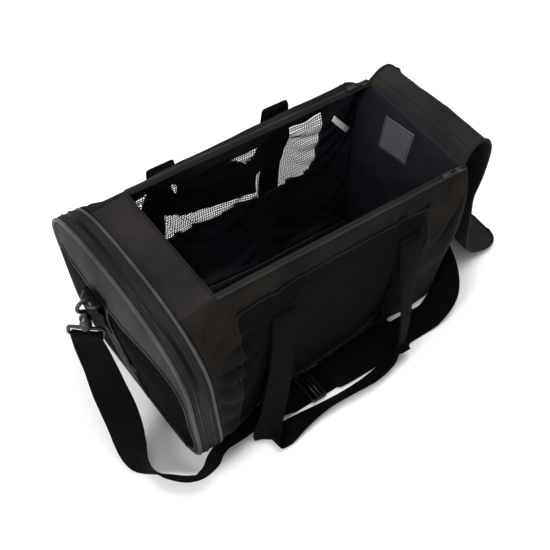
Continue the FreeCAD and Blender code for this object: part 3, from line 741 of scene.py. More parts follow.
def build_walls():
    for name, side in SIDES:
        grid = wall_grid(side)
        soft = make(name + "_raw", grid.reshape(-1, 3), grid_faces(WALL_ROWS, WALL_COLS))
        pins = {}
        for r in range(WALL_ROWS):
            for c in range(WALL_COLS):
                border = r < 2 or r > WALL_ROWS - 4 or c < 2 or c > WALL_COLS - 3
                x, _, z = grid[r, c]
                sewn = any(abs(x - leg) < WEB / 2 for leg in LEGS[name]) and z < 232
                pins[r * WALL_COLS + c] = 1.0 if border else (0.6 if sewn else 0.0)
        settle(soft, pins, cap=7.0, stretch=0.035)
        grid = np.array([v.co[:] for v in soft.data.vertices]).reshape(WALL_ROWS, WALL_COLS, 3) / MM
        bpy.data.objects.remove(soft)
        WALL_SURFACE[name] = grid

        def solid(r, c, g=grid, tilt=LEFT_TILT if side > 0 else 0.0):
            middle = (g[r, c] + g[r + 1, c + 1]) / 2
            return not in_window(middle[0], middle[2], tilt)
        # the walls wear the darker side cloth, which is painted shade
        wall = sheet(name + "_side", grid, (SIDE_SHADED, LINING), keep=solid, flip=side > 0)
        place(wall, "root", "outer_fabric", name + "_wall")


def surface_at(name, x, z):
    """Y of a settled wall's outside at x and z, from its nearest eight points."""
    grid = WALL_SURFACE[name].reshape(-1, 3)
    d = (grid[:, 0] - x) ** 2 + (grid[:, 2] - z) ** 2
    near = np.argpartition(d, 8)[:8]
    w = 1.0 / (d[near] + 1.0)
    return float(np.sum(grid[near, 1] * w) / np.sum(w))


# ---------------------------------------------------------------- netting
NET_PITCH = 3.6
NET_THICK = 0.5


def netting(name, cell_rows, cell_cols, point, keep, hole=0.36, mat=YARN):
    """Knitted mesh as real geometry: each cell is a ring of four strips round a diamond hole."""
    verts, faces, index = [], [], {}

    def corner(r, c):
        if (r, c) not in index:
            index[(r, c)] = len(verts)
            verts.append(point(r, c))
        return index[(r, c)]
    for r in range(cell_rows):
        for c in range(cell_cols):
            if not keep(r + 0.5, c + 0.5):
                continue
            outer = [corner(r, c), corner(r, c + 1), corner(r + 1, c + 1), corner(r + 1, c)]
            centre = sum((Vector(verts[i]) for i in outer), Vector()) / 4
            inner = list(range(len(verts), len(verts) + 4))
            verts += [centre.lerp(Vector(verts[i]), 1 - hole) for i in outer]
            for k in range(4):
                m = (k + 1) % 4
                faces.append((outer[k], outer[m], inner[m], inner[k]))
    obj = make(name, verts, faces, [(v[0], v[2]) for v in verts], (mat,), smooth=False)
    shell = obj.modifiers.new("thickness", "SOLIDIFY")
    shell.thickness = NET_THICK * MM
    shell.offset = 0.0
    return apply_modifiers(obj)


def rounded(width, height, radius, steps):
    """Closed outline (u, v) of a rounded rectangle about its centre."""
    path = []
    for sx, sy, start in ((1, 1, 0), (-1, 1, 90), (-1, -1, 180), (1, -1, 270)):
        for k in range(steps + 1):
            a = math.radians(start + 90 * k / steps)
            path.append((sx * (width / 2 - radius) + radius * math.cos(a),
                         sy * (height / 2 - radius) + radius * math.sin(a)))
    return path


def build_side_nets():
    for name, side in SIDES:
        x0, x1 = WINDOW[0] - 6, WINDOW[1] + 6
        low, high = PANEL_LOW, WINDOW[3] + 14
        cols = int((x1 - x0) / NET_PITCH)
        rows = int((WINDOW[3] + 20 - PANEL_LOW) / NET_PITCH)

        def spot(r, c, name=name, side=side, x0=x0):
            # every other row is half a cell along, so the yarns run diagonally
            x = x0 + (c + 0.5 * (r % 2)) * NET_PITCH
            z = PANEL_LOW + r * NET_PITCH
            return x, surface_at(name, x, z) + side * 0.8, z

        def inside(r, c, x0=x0, x1=x1):
            x, z = x0 + c * NET_PITCH, PANEL_LOW + r * NET_PITCH
            return x0 + 3 < x < x1 - 3 and z < WINDOW[3] + 16
        place(netting(name + "_net", rows, cols, spot, inside), "root", "mesh", name + "_mesh")
        outline = rounded(x1 - x0, high - low, 10.0, 6)
        edge = [((x0 + x1) / 2 + u, 0, (low + high) / 2 + v) for u, v in outline]
        edge = evenly(edge + edge[:1], 6)[:-1]
        path = [(x, surface_at(name, x, z) + side * 1.0, z) for x, _, z in edge]
        bind = tube(name + "_net_binding", path, 2.6, SIDE_SHADED, closed=True, flat=0.3, sides=8, up=(0, 1, 0))
        place(bind, "root", "outer_fabric")


# ---------------------------------------------------------------- strip, rear panel, linings
def build_strip():
    def spot(u, v):
        y = -OPEN_HALF + 2 * OPEN_HALF * u
        front_z = hoop_height(y)
        front_x = lean_x(HOOP_BACK, front_z)
        x, z = front_x + (OPEN_FRONT - front_x) * v, front_z + (TOP - front_z) * v
        rim = ease(v, 0, 0.2) * ease(1 - v, 0, 0.15) * ease(OPEN_HALF - abs(y), 0, 15)
        return x, y, z + rim * (1.6 * crease(x, y, z, 45, 2.2) + 0.9 * folds(x, y, z, 30, 5.5) - 1.4)
    strip = sheet("strip", grid_of(26, 60, spot), (OUTER, LINING), thick=1.6, flip=True)
    place(strip, "root", "outer_fabric", "top_strip")
    ys = np.linspace(-OPEN_HALF, OPEN_HALF, 41)
    lip = [[(OPEN_FRONT + 0.9, y, z) for y in ys] for z in (TOP + 0.5, TOP - 3, TOP - 9)]
    place(sheet("strip_hem", lip, thick=1.4), "root", "outer_fabric", "front_zip_tape")
    seams = [[(lean_x(HOOP_BACK, hoop_height(y)) + 5, y, hoop_height(y) + 0.2)
              for y in np.linspace(-OPEN_HALF + 3, OPEN_HALF - 3, 40)],
             [(OPEN_FRONT - 3.5, y, TOP + 0.25) for y in np.linspace(-OPEN_HALF + 2, OPEN_HALF - 2, 30)]]
    place(stitches("strip_stitching", seams), "root", "outer_fabric")


def build_rear():
    for name, x_face, inset, thick, mat, slot, node, sign in (
            ("rear_cloth", OPEN_REAR, 0, 1.8, OUTER, "outer_fabric", "rear_panel", 1),
            ("rear_liner", OPEN_REAR - 3.6, 2.6, 1.0, LINING, "lining", "rear_lining", -1)):

        def spot(u, v, x_face=x_face, inset=inset, sign=sign):
            z = LEVELS[0] + (TOP - LEVELS[0]) * v
            half = wall_width(214.0, z) - inset
            y = -half + 2 * half * u
            rim = ease(half - abs(y), 0, 18) * ease(z, 3, 25) * ease(TOP - z, 0, 20)
            lift = 2.0 * crease(y, z, 0, 60, 4.0 + sign) + 1.4 * folds(y + 0.3 * z, z * 0.4, 9, 34, 6 + sign)
            return x_face + sign * (0.2 + rim * lift) - (0 if sign > 0 else rim), y, z
        panel = sheet(name, grid_of(40, 44, spot), (mat,), thick=thick, flip=sign < 0)
        place(panel, "root", slot, node)


def build_bottom():
    """The base cloth, which follows the lower edges of both walls."""
    grid = []
    for a, b in zip(WALL_SURFACE["left"][0], WALL_SURFACE["right"][0]):
        x0, x1 = min(a[0], OPEN_REAR - 2), min(b[0], OPEN_REAR - 2)
        inset = math.copysign(1.0, a[1])
        grid.append([(x0 + (x1 - x0) * t, a[1] + (b[1] - a[1]) * t - inset * (0.5 - t) * 2, 2.6)
                     for t in np.linspace(0, 1, 24)])
    place(sheet("base_cloth", grid, thick=2.2), "root", "outer_fabric", "bottom_panel")


def build_labels():
    x_face = OPEN_REAR - 6.4
    corners = np.array([(51, 257), (-6, 267), (-2, 206), (53, 197)], float)

    def patch_spot(u, v):
        upper, lower = ((1 - u) * corners[a] + u * corners[b] for a, b in ((0, 1), (3, 2)))
        y, z = (1 - v) * upper + v * lower
        return x_face - 0.8 * crease(y, z, 0, 30, 1.5), y, z
    patch = sheet("patch", grid_of(14, 14, patch_spot), (LABEL,), thick=0.5, flip=True)
    place(patch, "root", "label", "label_patch")
    ring = [(x_face - 0.7, y * 0.9 + 2.4, 0.9 * z + 23.2) for y, z in (*corners, corners[0])]
    place(stitches("patch_stitching", [ring], pitch=2.4, length=1.7), "root", "label")

    def tag_spot(u, v):
        x, z = 163 + 38 * v + 5.0 * u, 228 - 44 * v + 7.0 * u
        return x, wall_width(x, z) - 6.0 - 5.0 * math.sin(math.pi * v), z
    place(sheet("tag", grid_of(10, 5, tag_spot), (TAG,), thick=0.5), "root", "tag", "care_tag")


def build_insert():
    """Quilted mat with a crowned top, sewn into squares, over its stiff board."""
    low, high = span("floor_mat")
    size = high - low

    def spot(u, v):
        x, y = low.x + size.x * u, low.y + size.y * v
        rim = min(min(u, 1 - u) * size.x, min(v, 1 - v) * size.y)
        crown = min(1.0, rim / 7.0) ** 0.5
        quilt = abs(math.sin(math.pi * (x + y) / 62)) * abs(math.sin(math.pi * (x - y) / 62))
        z = low.z + 3 + (size.z - 4) * crown * (0.72 + 0.28 * min(1.0, 3 * quilt))
        return (x, y, z + 0.5 * crease(x, y, 0, 25, 3.3)), (x, y, low.z + 0.4 + 2.4 * (1 - crown))
    mat = cushion("mat", 60, 100, spot, MATTING)
    place(mat, "insert", "mat", "floor_mat")


# ---------------------------------------------------------------- hoops, gussets, zips
def hoop_band(name, stations, mat, flip=False, thick=1.2, wave=0.0):
    """A band round the hoop through stations of (x at the top, distance outside the outline)."""
    grid = []
    for x_top, out in stations:
        row = []
        for i, (y, z, _, _) in enumerate(HOOP):
            rise = wave * crease(x_top, y, z, 22, 7.7) * ease(z, 2, 30)
            row.append(hoop_point(i, x_top, out + rise))
        grid.append(row)
    return sheet(name, grid, (mat,), thick=thick, wrap=True, flip=flip)


def hoop_tube(name, x_top, out, radius, mat, lowest=0.0, sides=10):
    """A cord or wire round the hoop, with its centre line kept at or above lowest."""
    path = [hoop_point(i, x_top, out) for i in range(len(HOOP))]
    path = [(x, y, max(z, lowest)) for x, y, z in path]
    return tube(name, path, radius, mat, closed=True, sides=sides, up=(1, 0, 0))


# name, side of the zip, X of the piping and body of each half of the hoop
HALVES = (("rear", 1, REAR_PIPE, "root"), ("front", -1, FRONT_PIPE, "front_door"))


def build_hoops():
    for end, _, x_top, body in HALVES:
        cord = hoop_tube(end + "_cord", x_top, 0.0, PIPE_RADIUS, PIPING, PIPE_RADIUS + 0.1, 12)
        place(cord, body, "piping", end + "_piping")
        seam = hoop_band(end + "_piping_seam", [(x_top + 4.6, -0.6), (x_top + 1.5, -0.4)], OUTER, thick=1.0)
        place(seam, body, "piping")
    band = [(REAR_PIPE - 2.0, -0.2), (REAR_PIPE - 5, 0.8), (REAR_PIPE - 8, 1.1), (ZIP_X + 6.5, 0.9),
            (ZIP_X + 5.2, 2.1), (ZIP_X + 4.0, 1.2), (ZIP_X + 3.8, 0.2)]
    tape = [(ZIP_X + 6.0, -0.9), (ZIP_X + 3.0, -0.4), (ZIP_X + 0.2, -0.2)]
    for end, hand, _, body in HALVES:
        gusset = hoop_band(f"gusset_{end}_half", across_zip(band, hand), OUTER, flip=hand > 0, wave=0.9)
        place(gusset, body, "outer_fabric", end + "_gusset")
    for end, hand, _, body in HALVES:
        strip = hoop_band("zip_tape_" + end, across_zip(tape, hand), TAPE, flip=hand > 0, thick=0.7)
        place(strip, body, "zip_tape")
    place(coil("zip_coil_rear", 1), "root", "zip_tape", "door_zip_chain")
    place(coil("zip_coil_front", -1), "front_door", "zip_tape")
    for end, hand, _, body in HALVES:
        place(hoop_tube(end + "_zip_welt", ZIP_X + 6.4 * hand, 1.3, 1.1, COIL, sides=6), body, "zip_tape")
    for end, hand, x_top, body in HALVES:
        wire = hoop_tube(end + "_wire", x_top - 5 * hand, -2.0, 1.3, STEEL, lowest=2.0)
        place(wire, body, "spring_wire", end + "_hoop_wire")


def across_zip(stations, hand):
    """The same stations, or their mirror image on the zip's front side."""
    return stations if hand > 0 else [(2 * ZIP_X - x, out) for x, out in stations]


def coil(name, hand):
    """One side of the hoop zip: a small block per turn of the coil."""
    p = evenly([(0, *q) for q in HOOP + HOOP[:1]], 2.1)[:-1]
    corners = []
    for _, y, z, ny, nz in p:
        out = Vector((0, ny, nz))
        along = Vector((0, -nz, ny))
        centre = Vector((lean_x(ZIP_X, z) + 1.3 * hand, y, z)) + out * 0.9
        for a in (-1.7, 1.5):
            for b, c in ((-0.6, -0.6), (0.6, -0.6), (0.45, 0.8), (-0.45, 0.8)):
                corners.append(centre + Vector((a * hand, 0, 0)) + along * b + out * c)
    return teeth(name, corners)


# ---------------------------------------------------------------- door
DOOR_LEVELS = [3.0, 30.0, 105.0, 180.0, 235.0, 262.0, HOOP_CROWN]
DOOR_DEPTHS = [1.5, 5.0, 10.0, 16.5, 21.5, 20.0, 6.5]
DOOR_CENTRE = 150.0
LUNE_WIDE = 0.93                # the net's opening, as shares of the hoop's outline
LUNE_TALL = 0.81
LUNE_FOOT = 9.0


def door_depth(y, z):
    """How far the door stands forward of the front hoop's plane."""
    share = math.hypot(y / HOOP_HALF, (z - DOOR_CENTRE) / (HOOP_CROWN - DOOR_CENTRE))
    if z < DOOR_CENTRE:
        share = max(abs(y) / HOOP_HALF, (DOOR_CENTRE - z) / (DOOR_CENTRE - HOOP_FOOT) * 0.93)
    share = min(share, 1.0)
    slack = 1.1 * crease(0, y, z, 50, 1.9) + 1.2 * folds(0, y + 0.4 * z, z, 60, 2.4)
    return smooth_value(z, DOOR_LEVELS, DOOR_DEPTHS) * (1 - share ** 3.2) + slack * ease(1 - share, 0, 0.12)


def door_point(y, z, out=0.0):
    return (lean_x(FRONT_PIPE, z) - door_depth(y, z) - out, y, z)


def lune(i):
    """Inner edge of the door's border, below a deep yoke at the top."""
    y, z = HOOP[i][:2]
    return y * LUNE_WIDE, LUNE_FOOT + (z - HOOP_FOOT) * LUNE_TALL


def in_lune(y, z):
    top = (z - LUNE_FOOT) / LUNE_TALL + HOOP_FOOT
    return 3.2 < top < HOOP_CROWN - 0.2 and abs(y) / LUNE_WIDE < hoop_width(top)


def build_door():
    n = len(HOOP)
    rows = 14
    grid = []
    for t in (r / (rows - 1) for r in range(rows)):
        row = []
        for i in range(n):
            a, b = lune(i), (HOOP[i][0] * 0.985, HOOP_FOOT + (HOOP[i][1] - HOOP_FOOT) * 0.988 + 0.8)
            row.append(door_point(a[0] + (b[0] - a[0]) * t, a[1] + (b[1] - a[1]) * t, 0.4))
        grid.append(row)
    # the door's border, binding and centre band wear the lighter door cloth, which is painted light
    border = sheet("door_rim", grid, (DOOR_LIT, LINING), thick=1.4, wrap=True, flip=True)
    place(border, "front_door", "outer_fabric", "door_border")
    bind = tube("door_net_binding", [door_point(*lune(i), 0.9) for i in range(n)], 2.2, DOOR_LIT,
                closed=True, flat=0.4, sides=8, up=(1, 0, 0))
    place(bind, "front_door", "outer_fabric")
    net_y, net_z = 14, 12
    cols, rows = int(HOOP_HALF / NET_PITCH), int(250 / NET_PITCH)
    for name, side in SIDES:

        def spot(r, c, side=side):
            return door_point(side * (net_y + (c + 0.5 * (r % 2)) * NET_PITCH), net_z + r * NET_PITCH, -0.3)

        def inside(r, c):
            return in_lune((net_y + c * NET_PITCH) * 0.985, net_z + r * NET_PITCH)
        net = netting(f"door_net_{name}", rows, cols, spot, inside, hole=0.5, mat=DOOR_YARN)
        place(net, "front_door", "mesh", f"door_mesh_{name}")
    grid = [[door_point(y, 6 + 236 * r / 59, 1.3) for y in np.linspace(-19, 19, 9)] for r in range(60)]
    place(sheet("door_band", grid, (DOOR_LIT,), thick=1.2), "front_door", "webbing", "door_centre_band")
    seams = [[door_point(s * 16.5, 10 + 214 * k / 40, 1.5) for k in range(41)] for s in (-1, 1)]
    outline = [lune(i) for i in range(n)]
    seams.append([door_point(y * 1.02, LUNE_FOOT + (z - LUNE_FOOT) * 1.015, 0.7) for y, z in outline])
    place(stitches("door_stitching", seams), "front_door", "outer_fabric")


# ---------------------------------------------------------------- clips
FRONT_CLIP = {"end": "front", "facing": -1, "bar_x": -280.7, "base": 252.0, "body": "front_door"}
REAR_CLIP = {"end": "rear", "facing": 1, "bar_x": OPEN_REAR + 4.5, "base": 232.0, "body": "root"}
FRONT_EYE_TURN = math.radians(-39.7)
EYE_OUT = 12.0                  # from a tab's bar out to its hook's axis
HOOK_RADIUS = 9.2
BARREL = [(3.2, 22), (4.6, 20), (6.2, 17.5), (7.4, 16.5), (7.6, 14), (6.7, 13), (6.7, 5), (7.6, 4),
          (7.6, 1.2), (6.8, 0.2)]


def build_clip(clip, turn):
    end, facing, bar_x, base, body = clip.values()
    eye_x, eye_z = bar_x + facing * EYE_OUT, base - 8.0
    low = eye_z + 4.6
    ring = [(bar_x, y, base) for y in (-9, -4, 0, 4, 9)]
    for k in range(-1, 12):
        a = math.pi * (k + 0.5) / 11
        bow = max(0.0, math.sin(a))
        ring.append((bar_x + facing * 12 * bow, 14 * math.cos(a), base + (low - base) * bow))
    ring = spline(ring + ring[:1], 3)[:-1]
    place(tube(end + "_ring", ring, 1.9, PLASTIC, closed=True, up=(0.3, 0.2, 1)), body, "plastic",
          end + "_d_ring")

    hook = [(eye_x, 0, eye_z - 20), (eye_x, 0, eye_z - 12)]
    for degrees in range(15, 226, 15):
        a = math.radians(-90 + facing * degrees)
        hook.append((eye_x + HOOK_RADIUS * math.cos(a), 0, eye_z + HOOK_RADIUS * math.sin(a)))
    arm = tube(end + "_arm", spline(hook, 3), lambda t: 2.9 - 0.5 * t, PLASTIC, sides=12, up=(0, 1, 0))
    barrel = lathe(end + "_barrel", BARREL, (eye_x, 0, eye_z - 39), PLASTIC)
    place(join(end + "_snap_hook", [arm, barrel]), end + "_hook", "plastic", end + "_hook")
    gate = box_mesh(end + "_thumb_gate", (3.0, 4.4, 12.5), (eye_x - facing * 8.8, 0, eye_z - 3.6), PLASTIC,
                    bevel=1.2)
    place(gate, end + "_gate", "plastic", end + "_gate")

    across = (math.cos(turn), math.sin(turn))
    top = eye_z - 40.0
    loop = [(eye_x + across[0] * u, across[1] * u, top - 9.3 + v) for u, v in rounded(43.5, 13.2, 3.6, 6)]
    eye = tube(end + "_loop", loop, 2.35, PLASTIC, closed=True, sides=12, up=(*across, 0.01))
    post = lathe(end + "_post", [(2.0, 0), (2.0, 6), (4.2, 7), (4.2, 9)], (eye_x, 0, top - 7.5), PLASTIC)
    cap = lathe(end + "_collar", [(4.6, 0), (5.8, 1.2), (5.8, 3.6), (3.0, 5.0)], (eye_x, 0, top - 4.6),
                PLASTIC)
    place(join(end + "_strap_loop", [eye, post, cap]), body, "plastic", end + "_strap_eye")


def build_tabs():
    for clip in (FRONT_CLIP, REAR_CLIP):
        end, facing, bar_x, base, body = clip.values()

        def web(z, out, end=end, facing=facing):
            """A frame of webbing that lies out from the door or the rear panel."""
            face = door_point(0, z, 1.6)[0] if end == "front" else OPEN_REAR + 0.4
            return (face + facing * out, 0, z), (0, 1, 0)
        back = [web(z, 1.3) for z in np.linspace(base - 66.0, base - 12, 8)]
        r = 3.2
        fold = [((bar_x - facing * r * math.cos(a), 0, base + r * math.sin(a)), (0, 1, 0))
                for a in np.radians([-10, 40, 90, 140, 190])]
        front = [((bar_x + facing * 3.0, 0, base - 8), (0, 1, 0)), web(base - 22, 3.6),
                 web(base - 34, 3.4), web(base - 46, 3.4)]
        place(ribbon(end + "_tab_web", back + fold + front, width=32.0, thick=1.5, step=2.0), body,
              "webbing", end + "_tab")
        high, low = base - 24, base - 44
        lines = [[(web(z, 4.5)[0][0], y, z) for y in np.linspace(-13, 13, 10)] for z in (low, high)]
        lines += [[(web(z, 4.5)[0][0], y, z) for z in np.linspace(low, high, 8)] for y in (-13, 13)]
        place(stitches(end + "_tab_stitching", lines, pitch=2.6, length=1.8), body, "webbing")


# ---------------------------------------------------------------- shoulder strap
STRAP_CUT = 0.32                # share of the strap's length that hangs from the door


def build_strap():
    eye_x, top = FRONT_CLIP["bar_x"] - EYE_OUT, FRONT_CLIP["base"] - 48.0
    wide = Vector((math.cos(FRONT_EYE_TURN), math.sin(FRONT_EYE_TURN), 0))
    out = Vector((wide.y, -wide.x, 0))
    bar = Vector((eye_x, 0, top - 15.9))
    gap = 3.4
    over = [bar - out * (gap + 0.2) + Vector((0, 0, -26)), bar - out * gap + Vector((0, 0, -13))]
    over += [bar + (out * math.cos(a) + Vector((0, 0, 1)) * math.sin(a)) * gap
             for a in np.radians([180, 135, 90, 45, 0])]
    frames = [(tuple(q), wide) for q in over]
    frames += [((eye_x + 0.5, -3, 170), wide, 1.02), ((-289, -20, 140), (0.80, -0.58, 0.05), 1.08),
               ((-287.5, -38, 110), (0.85, -0.50, 0.06), 1.17), ((-285, -53, 84), (0.88, -0.44, 0.10), 1.2),
               ((-283.5, -66, 58), (0.88, -0.40, 0.18), 1.16), ((-285, -79, 38), (0.80, -0.45, 0.30), 1.1),
               ((-286, -92, 27), (0.64, -0.52, 0.45), 1.06), ((-283, -110, 23), (0.30, -0.60, 0.60), 1.06),
               ((-274, -129, 21.5), (-0.05, -0.6, 0.72), 1.06),
               ((-261, -145, 21.5), (-0.28, -0.54, 0.76), 1.08),
               ((-247, -157, 21.5), (-0.34, -0.5, 0.76), 1.1),
               ((-232, -162, 21.5), (-0.3, -0.52, 0.78), 1.12),
               ((-214, -157, 19), (-0.12, -0.6, 0.76), 1.18), ((-198, -147, 18), (-0.04, -0.61, 0.76), 1.18),
               ((-184, -141, 17), (0.0, -0.62, 0.76), 1.18), ((-160, -138, 16.5), (0.1, -0.66, 0.7), 1.18),
               ((-132, -134, 15), (0.10, -0.72, 0.66), 1.18), ((-104, -130, 11.5), (0.05, -0.85, 0.48), 1.18),
               ((-80, -126, 6.5), (0, -0.95, 0.25), 1.18), ((-60, -124, 2.7), (0, -1, 0), 1.18),
               ((0, -124, 2.7), (0, -1, 0), 1.18), ((178.1, -124, 2.7), (0, -1, 0), 1.18)]
    drop = ribbon("strap_drop", frames, curl=0.3, part=(0.0, STRAP_CUT))
    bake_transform(drop)
    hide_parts("strap_front_drop")
    run = ribbon("strap_run", frames, curl=0.3, part=(STRAP_CUT, 1.0))
    place(run, "root", "webbing", "strap_side_run")
    eye_x, top = REAR_CLIP["bar_x"] + EYE_OUT, REAR_CLIP["base"] - 48.0
    rise = [((178, -124, 2.7), (0, -1, 0), 1.18), ((204, -124, 6), (-0.05, -0.98, 0.15), 1.2),
            ((234, -114, 24), (0.3, -0.9, 0.3), 1.25), ((248, -90, 56), (0.2, -0.8, 0.5), 1.25),
            ((247, -55, 96), (0, -0.76, 0.62), 1.22), ((240, -22, 128), (0, -0.88, 0.44), 1.15),
            ((eye_x + 1.5, -2, 158), (0, -1, 0.04), 1.06)]
    rise += [((eye_x + x, 0, top - z), (0, -1, 0))
             for x, z in ((3.4, 20), (3.0, 13), (0, 10.4), (-3.0, 13), (-3.2, 26), (-2.6, 42))]
    place(ribbon("strap_rise", rise, curl=0.3), "root", "webbing", "strap_rear_rise")


def build_fittings():
    """Three-bar adjuster and the sleeve pad, on the straight run."""
    low, high = span("strap_adjuster")
    middle = (low + high) / 2
    width, length = 1.2 * (high.y - low.y), high.x - low.x
    height = 6.6
    outline = rounded(length - 4, width - 2.8, 3.0, 5)
    outer = tube("adjuster_frame", [(middle.x + u, middle.y + v, height) for u, v in outline], 2.0, PLASTIC,
                 closed=True)
    bars = [tube(f"adjuster_bar_{i}", [(middle.x + dx, middle.y + s * width / 2 - 2 * s, height)
                                       for s in (-1, 1)], 1.6, PLASTIC) for i, dx in enumerate((-1.5, 4.5))]
    place(join("adjuster", [outer] + bars), "strap_adjuster", "plastic", "strap_adjuster")
    low, high = span("shoulder_pad")
    middle = (low + high) / 2
    half_x, half_y = (high.x - low.x) / 2, 1.33 * (high.y - low.y) / 2

    def spot(u, v):
        u, v = 2 * u - 1, 2 * v - 1
        corner = max(0.0, 1 - abs(u) ** 8) ** 0.5
        x, y = middle.x + u * half_x, middle.y + v * half_y * (0.86 + 0.14 * corner)
        rim = (1 - abs(v) ** 4) * (1 - abs(u) ** 16)
        ridge = 0.5 * abs(math.sin(math.pi * (x - low.x) / 14))
        return (x, y, low.z + 1.0 + (4.6 + ridge) * rim), (x, y, low.z + 0.2)
    pad = cushion("sleeve_pad", 15, 60, spot, WEBBING)
    place(pad, "shoulder_pad", "pad", "shoulder_pad")


# ---------------------------------------------------------------- handles
def band_centre(name, index, z):
    """X of a sewn handle band at height z; the left ones lean forward as they go down."""
    x = LEGS[name][index]
    if name == "left":
        x += 12.0 * ease(z, 150, 262)
    return x


def build_bands():
    for name, side in SIDES:
        width = 34.0 if name == "left" else WEB
        for index, end in ((0, "front"), (1, "rear")):
            frames = []
            for z in (10, 30, 60, 95, 130, 165, 200, 226):
                x = band_centre(name, index, z)
                edge = max(abs(surface_at(name, x + s * width / 2, z)) for s in (-1, 0, 1))
                lean = surface_at(name, x + 12, z) - surface_at(name, x - 12, z)
                frames.append(((x, side * (edge + 2.4), z), (24, lean, 0)))
            if side > 0:
                x = band_centre(name, index, 258)
                frames += [((x, 127.0, 246), (1, 0, 0)), ((x, 128.5, 257), (1, 0, 0))]
            band = ribbon(f"{name}_{end}_webbing", frames, width=width)
            place(band, "root", "webbing", f"{name}_band_{end}")
            x = band_centre(name, index, 215)
            out = side * (abs(surface_at(name, x, 215)) + 4.4)
            w = width / 2 - 3
            low, high = 192, 222
            lines = [[(x + u, out, z) for u in np.linspace(-w, w, 10)] for z in (low, high)]
            lines += [[(x + u, out, z) for z in np.linspace(low, high, 10)] for u in (-w, w)]
            lines += [[(x - w, out, a), (x + w, out, b)] for a, b in ((low, high), (high, low))]
            place(stitches(f"{name}_{end}_stitching", lines, pitch=3.0), "root", "webbing")


def build_left_handle():
    """Folded out over the edge: two legs up to the fold, and a wide wrap round the grip."""
    y = 139.6
    x0, x1 = band_centre("left", 0, 262), band_centre("left", 1, 262)
    parts = []
    for name, x, inward, drop in (("a", x0, 1, -7.0), ("b", x1, -1, 9.0)):
        fold = [((x, across, z), (1, 0, 0)) for across, z in (
            (128.7, 250), (129.6, 258 + drop), (134.0, 264 + drop), (138.4, 258 + drop), (139.4, 248))]
        fold += [((x + inward * dx, y, z), wide) for dx, z, wide in (
            (1, 225, (1, 0, 0.1 * inward)), (2, 195, (1, 0, 0.3 * inward)),
            (16, 168, (0.75, 0, 0.7 * inward)), (48, 153, (0.2, 0, 1 * inward)))]
        parts.append(ribbon("left_leg_" + name, fold))
    grip = [((x0 + 46, y + 0.4, 149), (0, 0, 1)), (((x0 + x1) / 2, y + 0.6, 146), (0, 0, 1)),
            ((x1 - 46, y + 0.4, 149), (0, 0, 1))]
    parts.append(ribbon("left_grip", grip))
    place(join("left_carry_handle", parts), "left_handle", "webbing", "left_handle")

    def spot(u, v):
        u, v = 2 * u - 1, 2 * v - 1
        x = u * 68 - 32.0 * max(0.0, v) * ease(u, 0.3, 1.0)
        z = 159.5 - 14.0 * u + v * 40
        bend = 9.0 * (1 - v * v) + 2.4 * crease(x, 0, z, 34, 5.1)
        return x, y + 0.8 + bend * 0.6, z
    wrap = sheet("grip_wrap_cloth", grid_of(22, 44, spot), thick=2.2, flip=True)
    place(wrap, "left_handle", "outer_fabric", "grip_wrap")


def build_right_handle():
    """Hangs down outside the wall and lies along the floor."""
    x0, x1 = LEGS["right"]
    y0, y1 = (-(abs(surface_at("right", x, 226)) + 5.2) for x in (x0, x1))
    frames = [((x0, y0 + 1.4, 222), (1, 0.10, 0)), ((x0 - 1, y0 - 2.5, 214), (1, 0.10, 0)),
              ((x0 - 5, -138, 170), (1, 0.05, 0)), ((x0 - 12, -147, 115), (1, -0.05, 0)),
              ((x0 - 21, -154, 60), (1, -0.16, 0.0)), ((x0 - 29, -158, 24), (0.95, -0.40, 0.05)),
              ((-122, -163, 9), (0.70, -0.80, 0.05)), ((-103, -166, 5.5), (0.2, -1, 0.10)),
              ((-70, -164, 8.5), (0, -1, 0.35), 0.8), ((-30, -164, 11.5), (0, -0.9, 0.75), 0.7),
              ((10, -166, 12.5), (0, -0.85, 0.8), 0.7), ((50, -166, 12), (0, -0.9, 0.7), 0.75),
              ((84, -161, 12), (0.1, -0.85, 0.7), 0.7), ((106, -156, 16), (0.3, -0.2, 0.95), 0.85),
              ((119, -150, 36), (0.74, 0.40, 0.5), 0.95), ((122, -143, 75), (0.78, 0.36, 0.0)),
              ((121, -134, 125), (0.84, 0.30, 0)), ((121, -125, 172), (0.96, 0.1, 0)),
              ((x1, y1 - 2.0, 212), (1, 0, 0)), ((x1, y1 + 1.0, 220), (1, 0, 0))]
    place(ribbon("right_carry_handle", frames, curl=0.35), "right_handle", "webbing", "right_handle")


# ---------------------------------------------------------------- top zips
def rim_line(x, side, y, z):
    """A point of the slack zip along one side of the opening."""
    return (x, side * (y + 0.35 * crease(x, 0, 0, 30, 2.0)), z + 0.5 * crease(x, 4, 0, 60, 1.0))


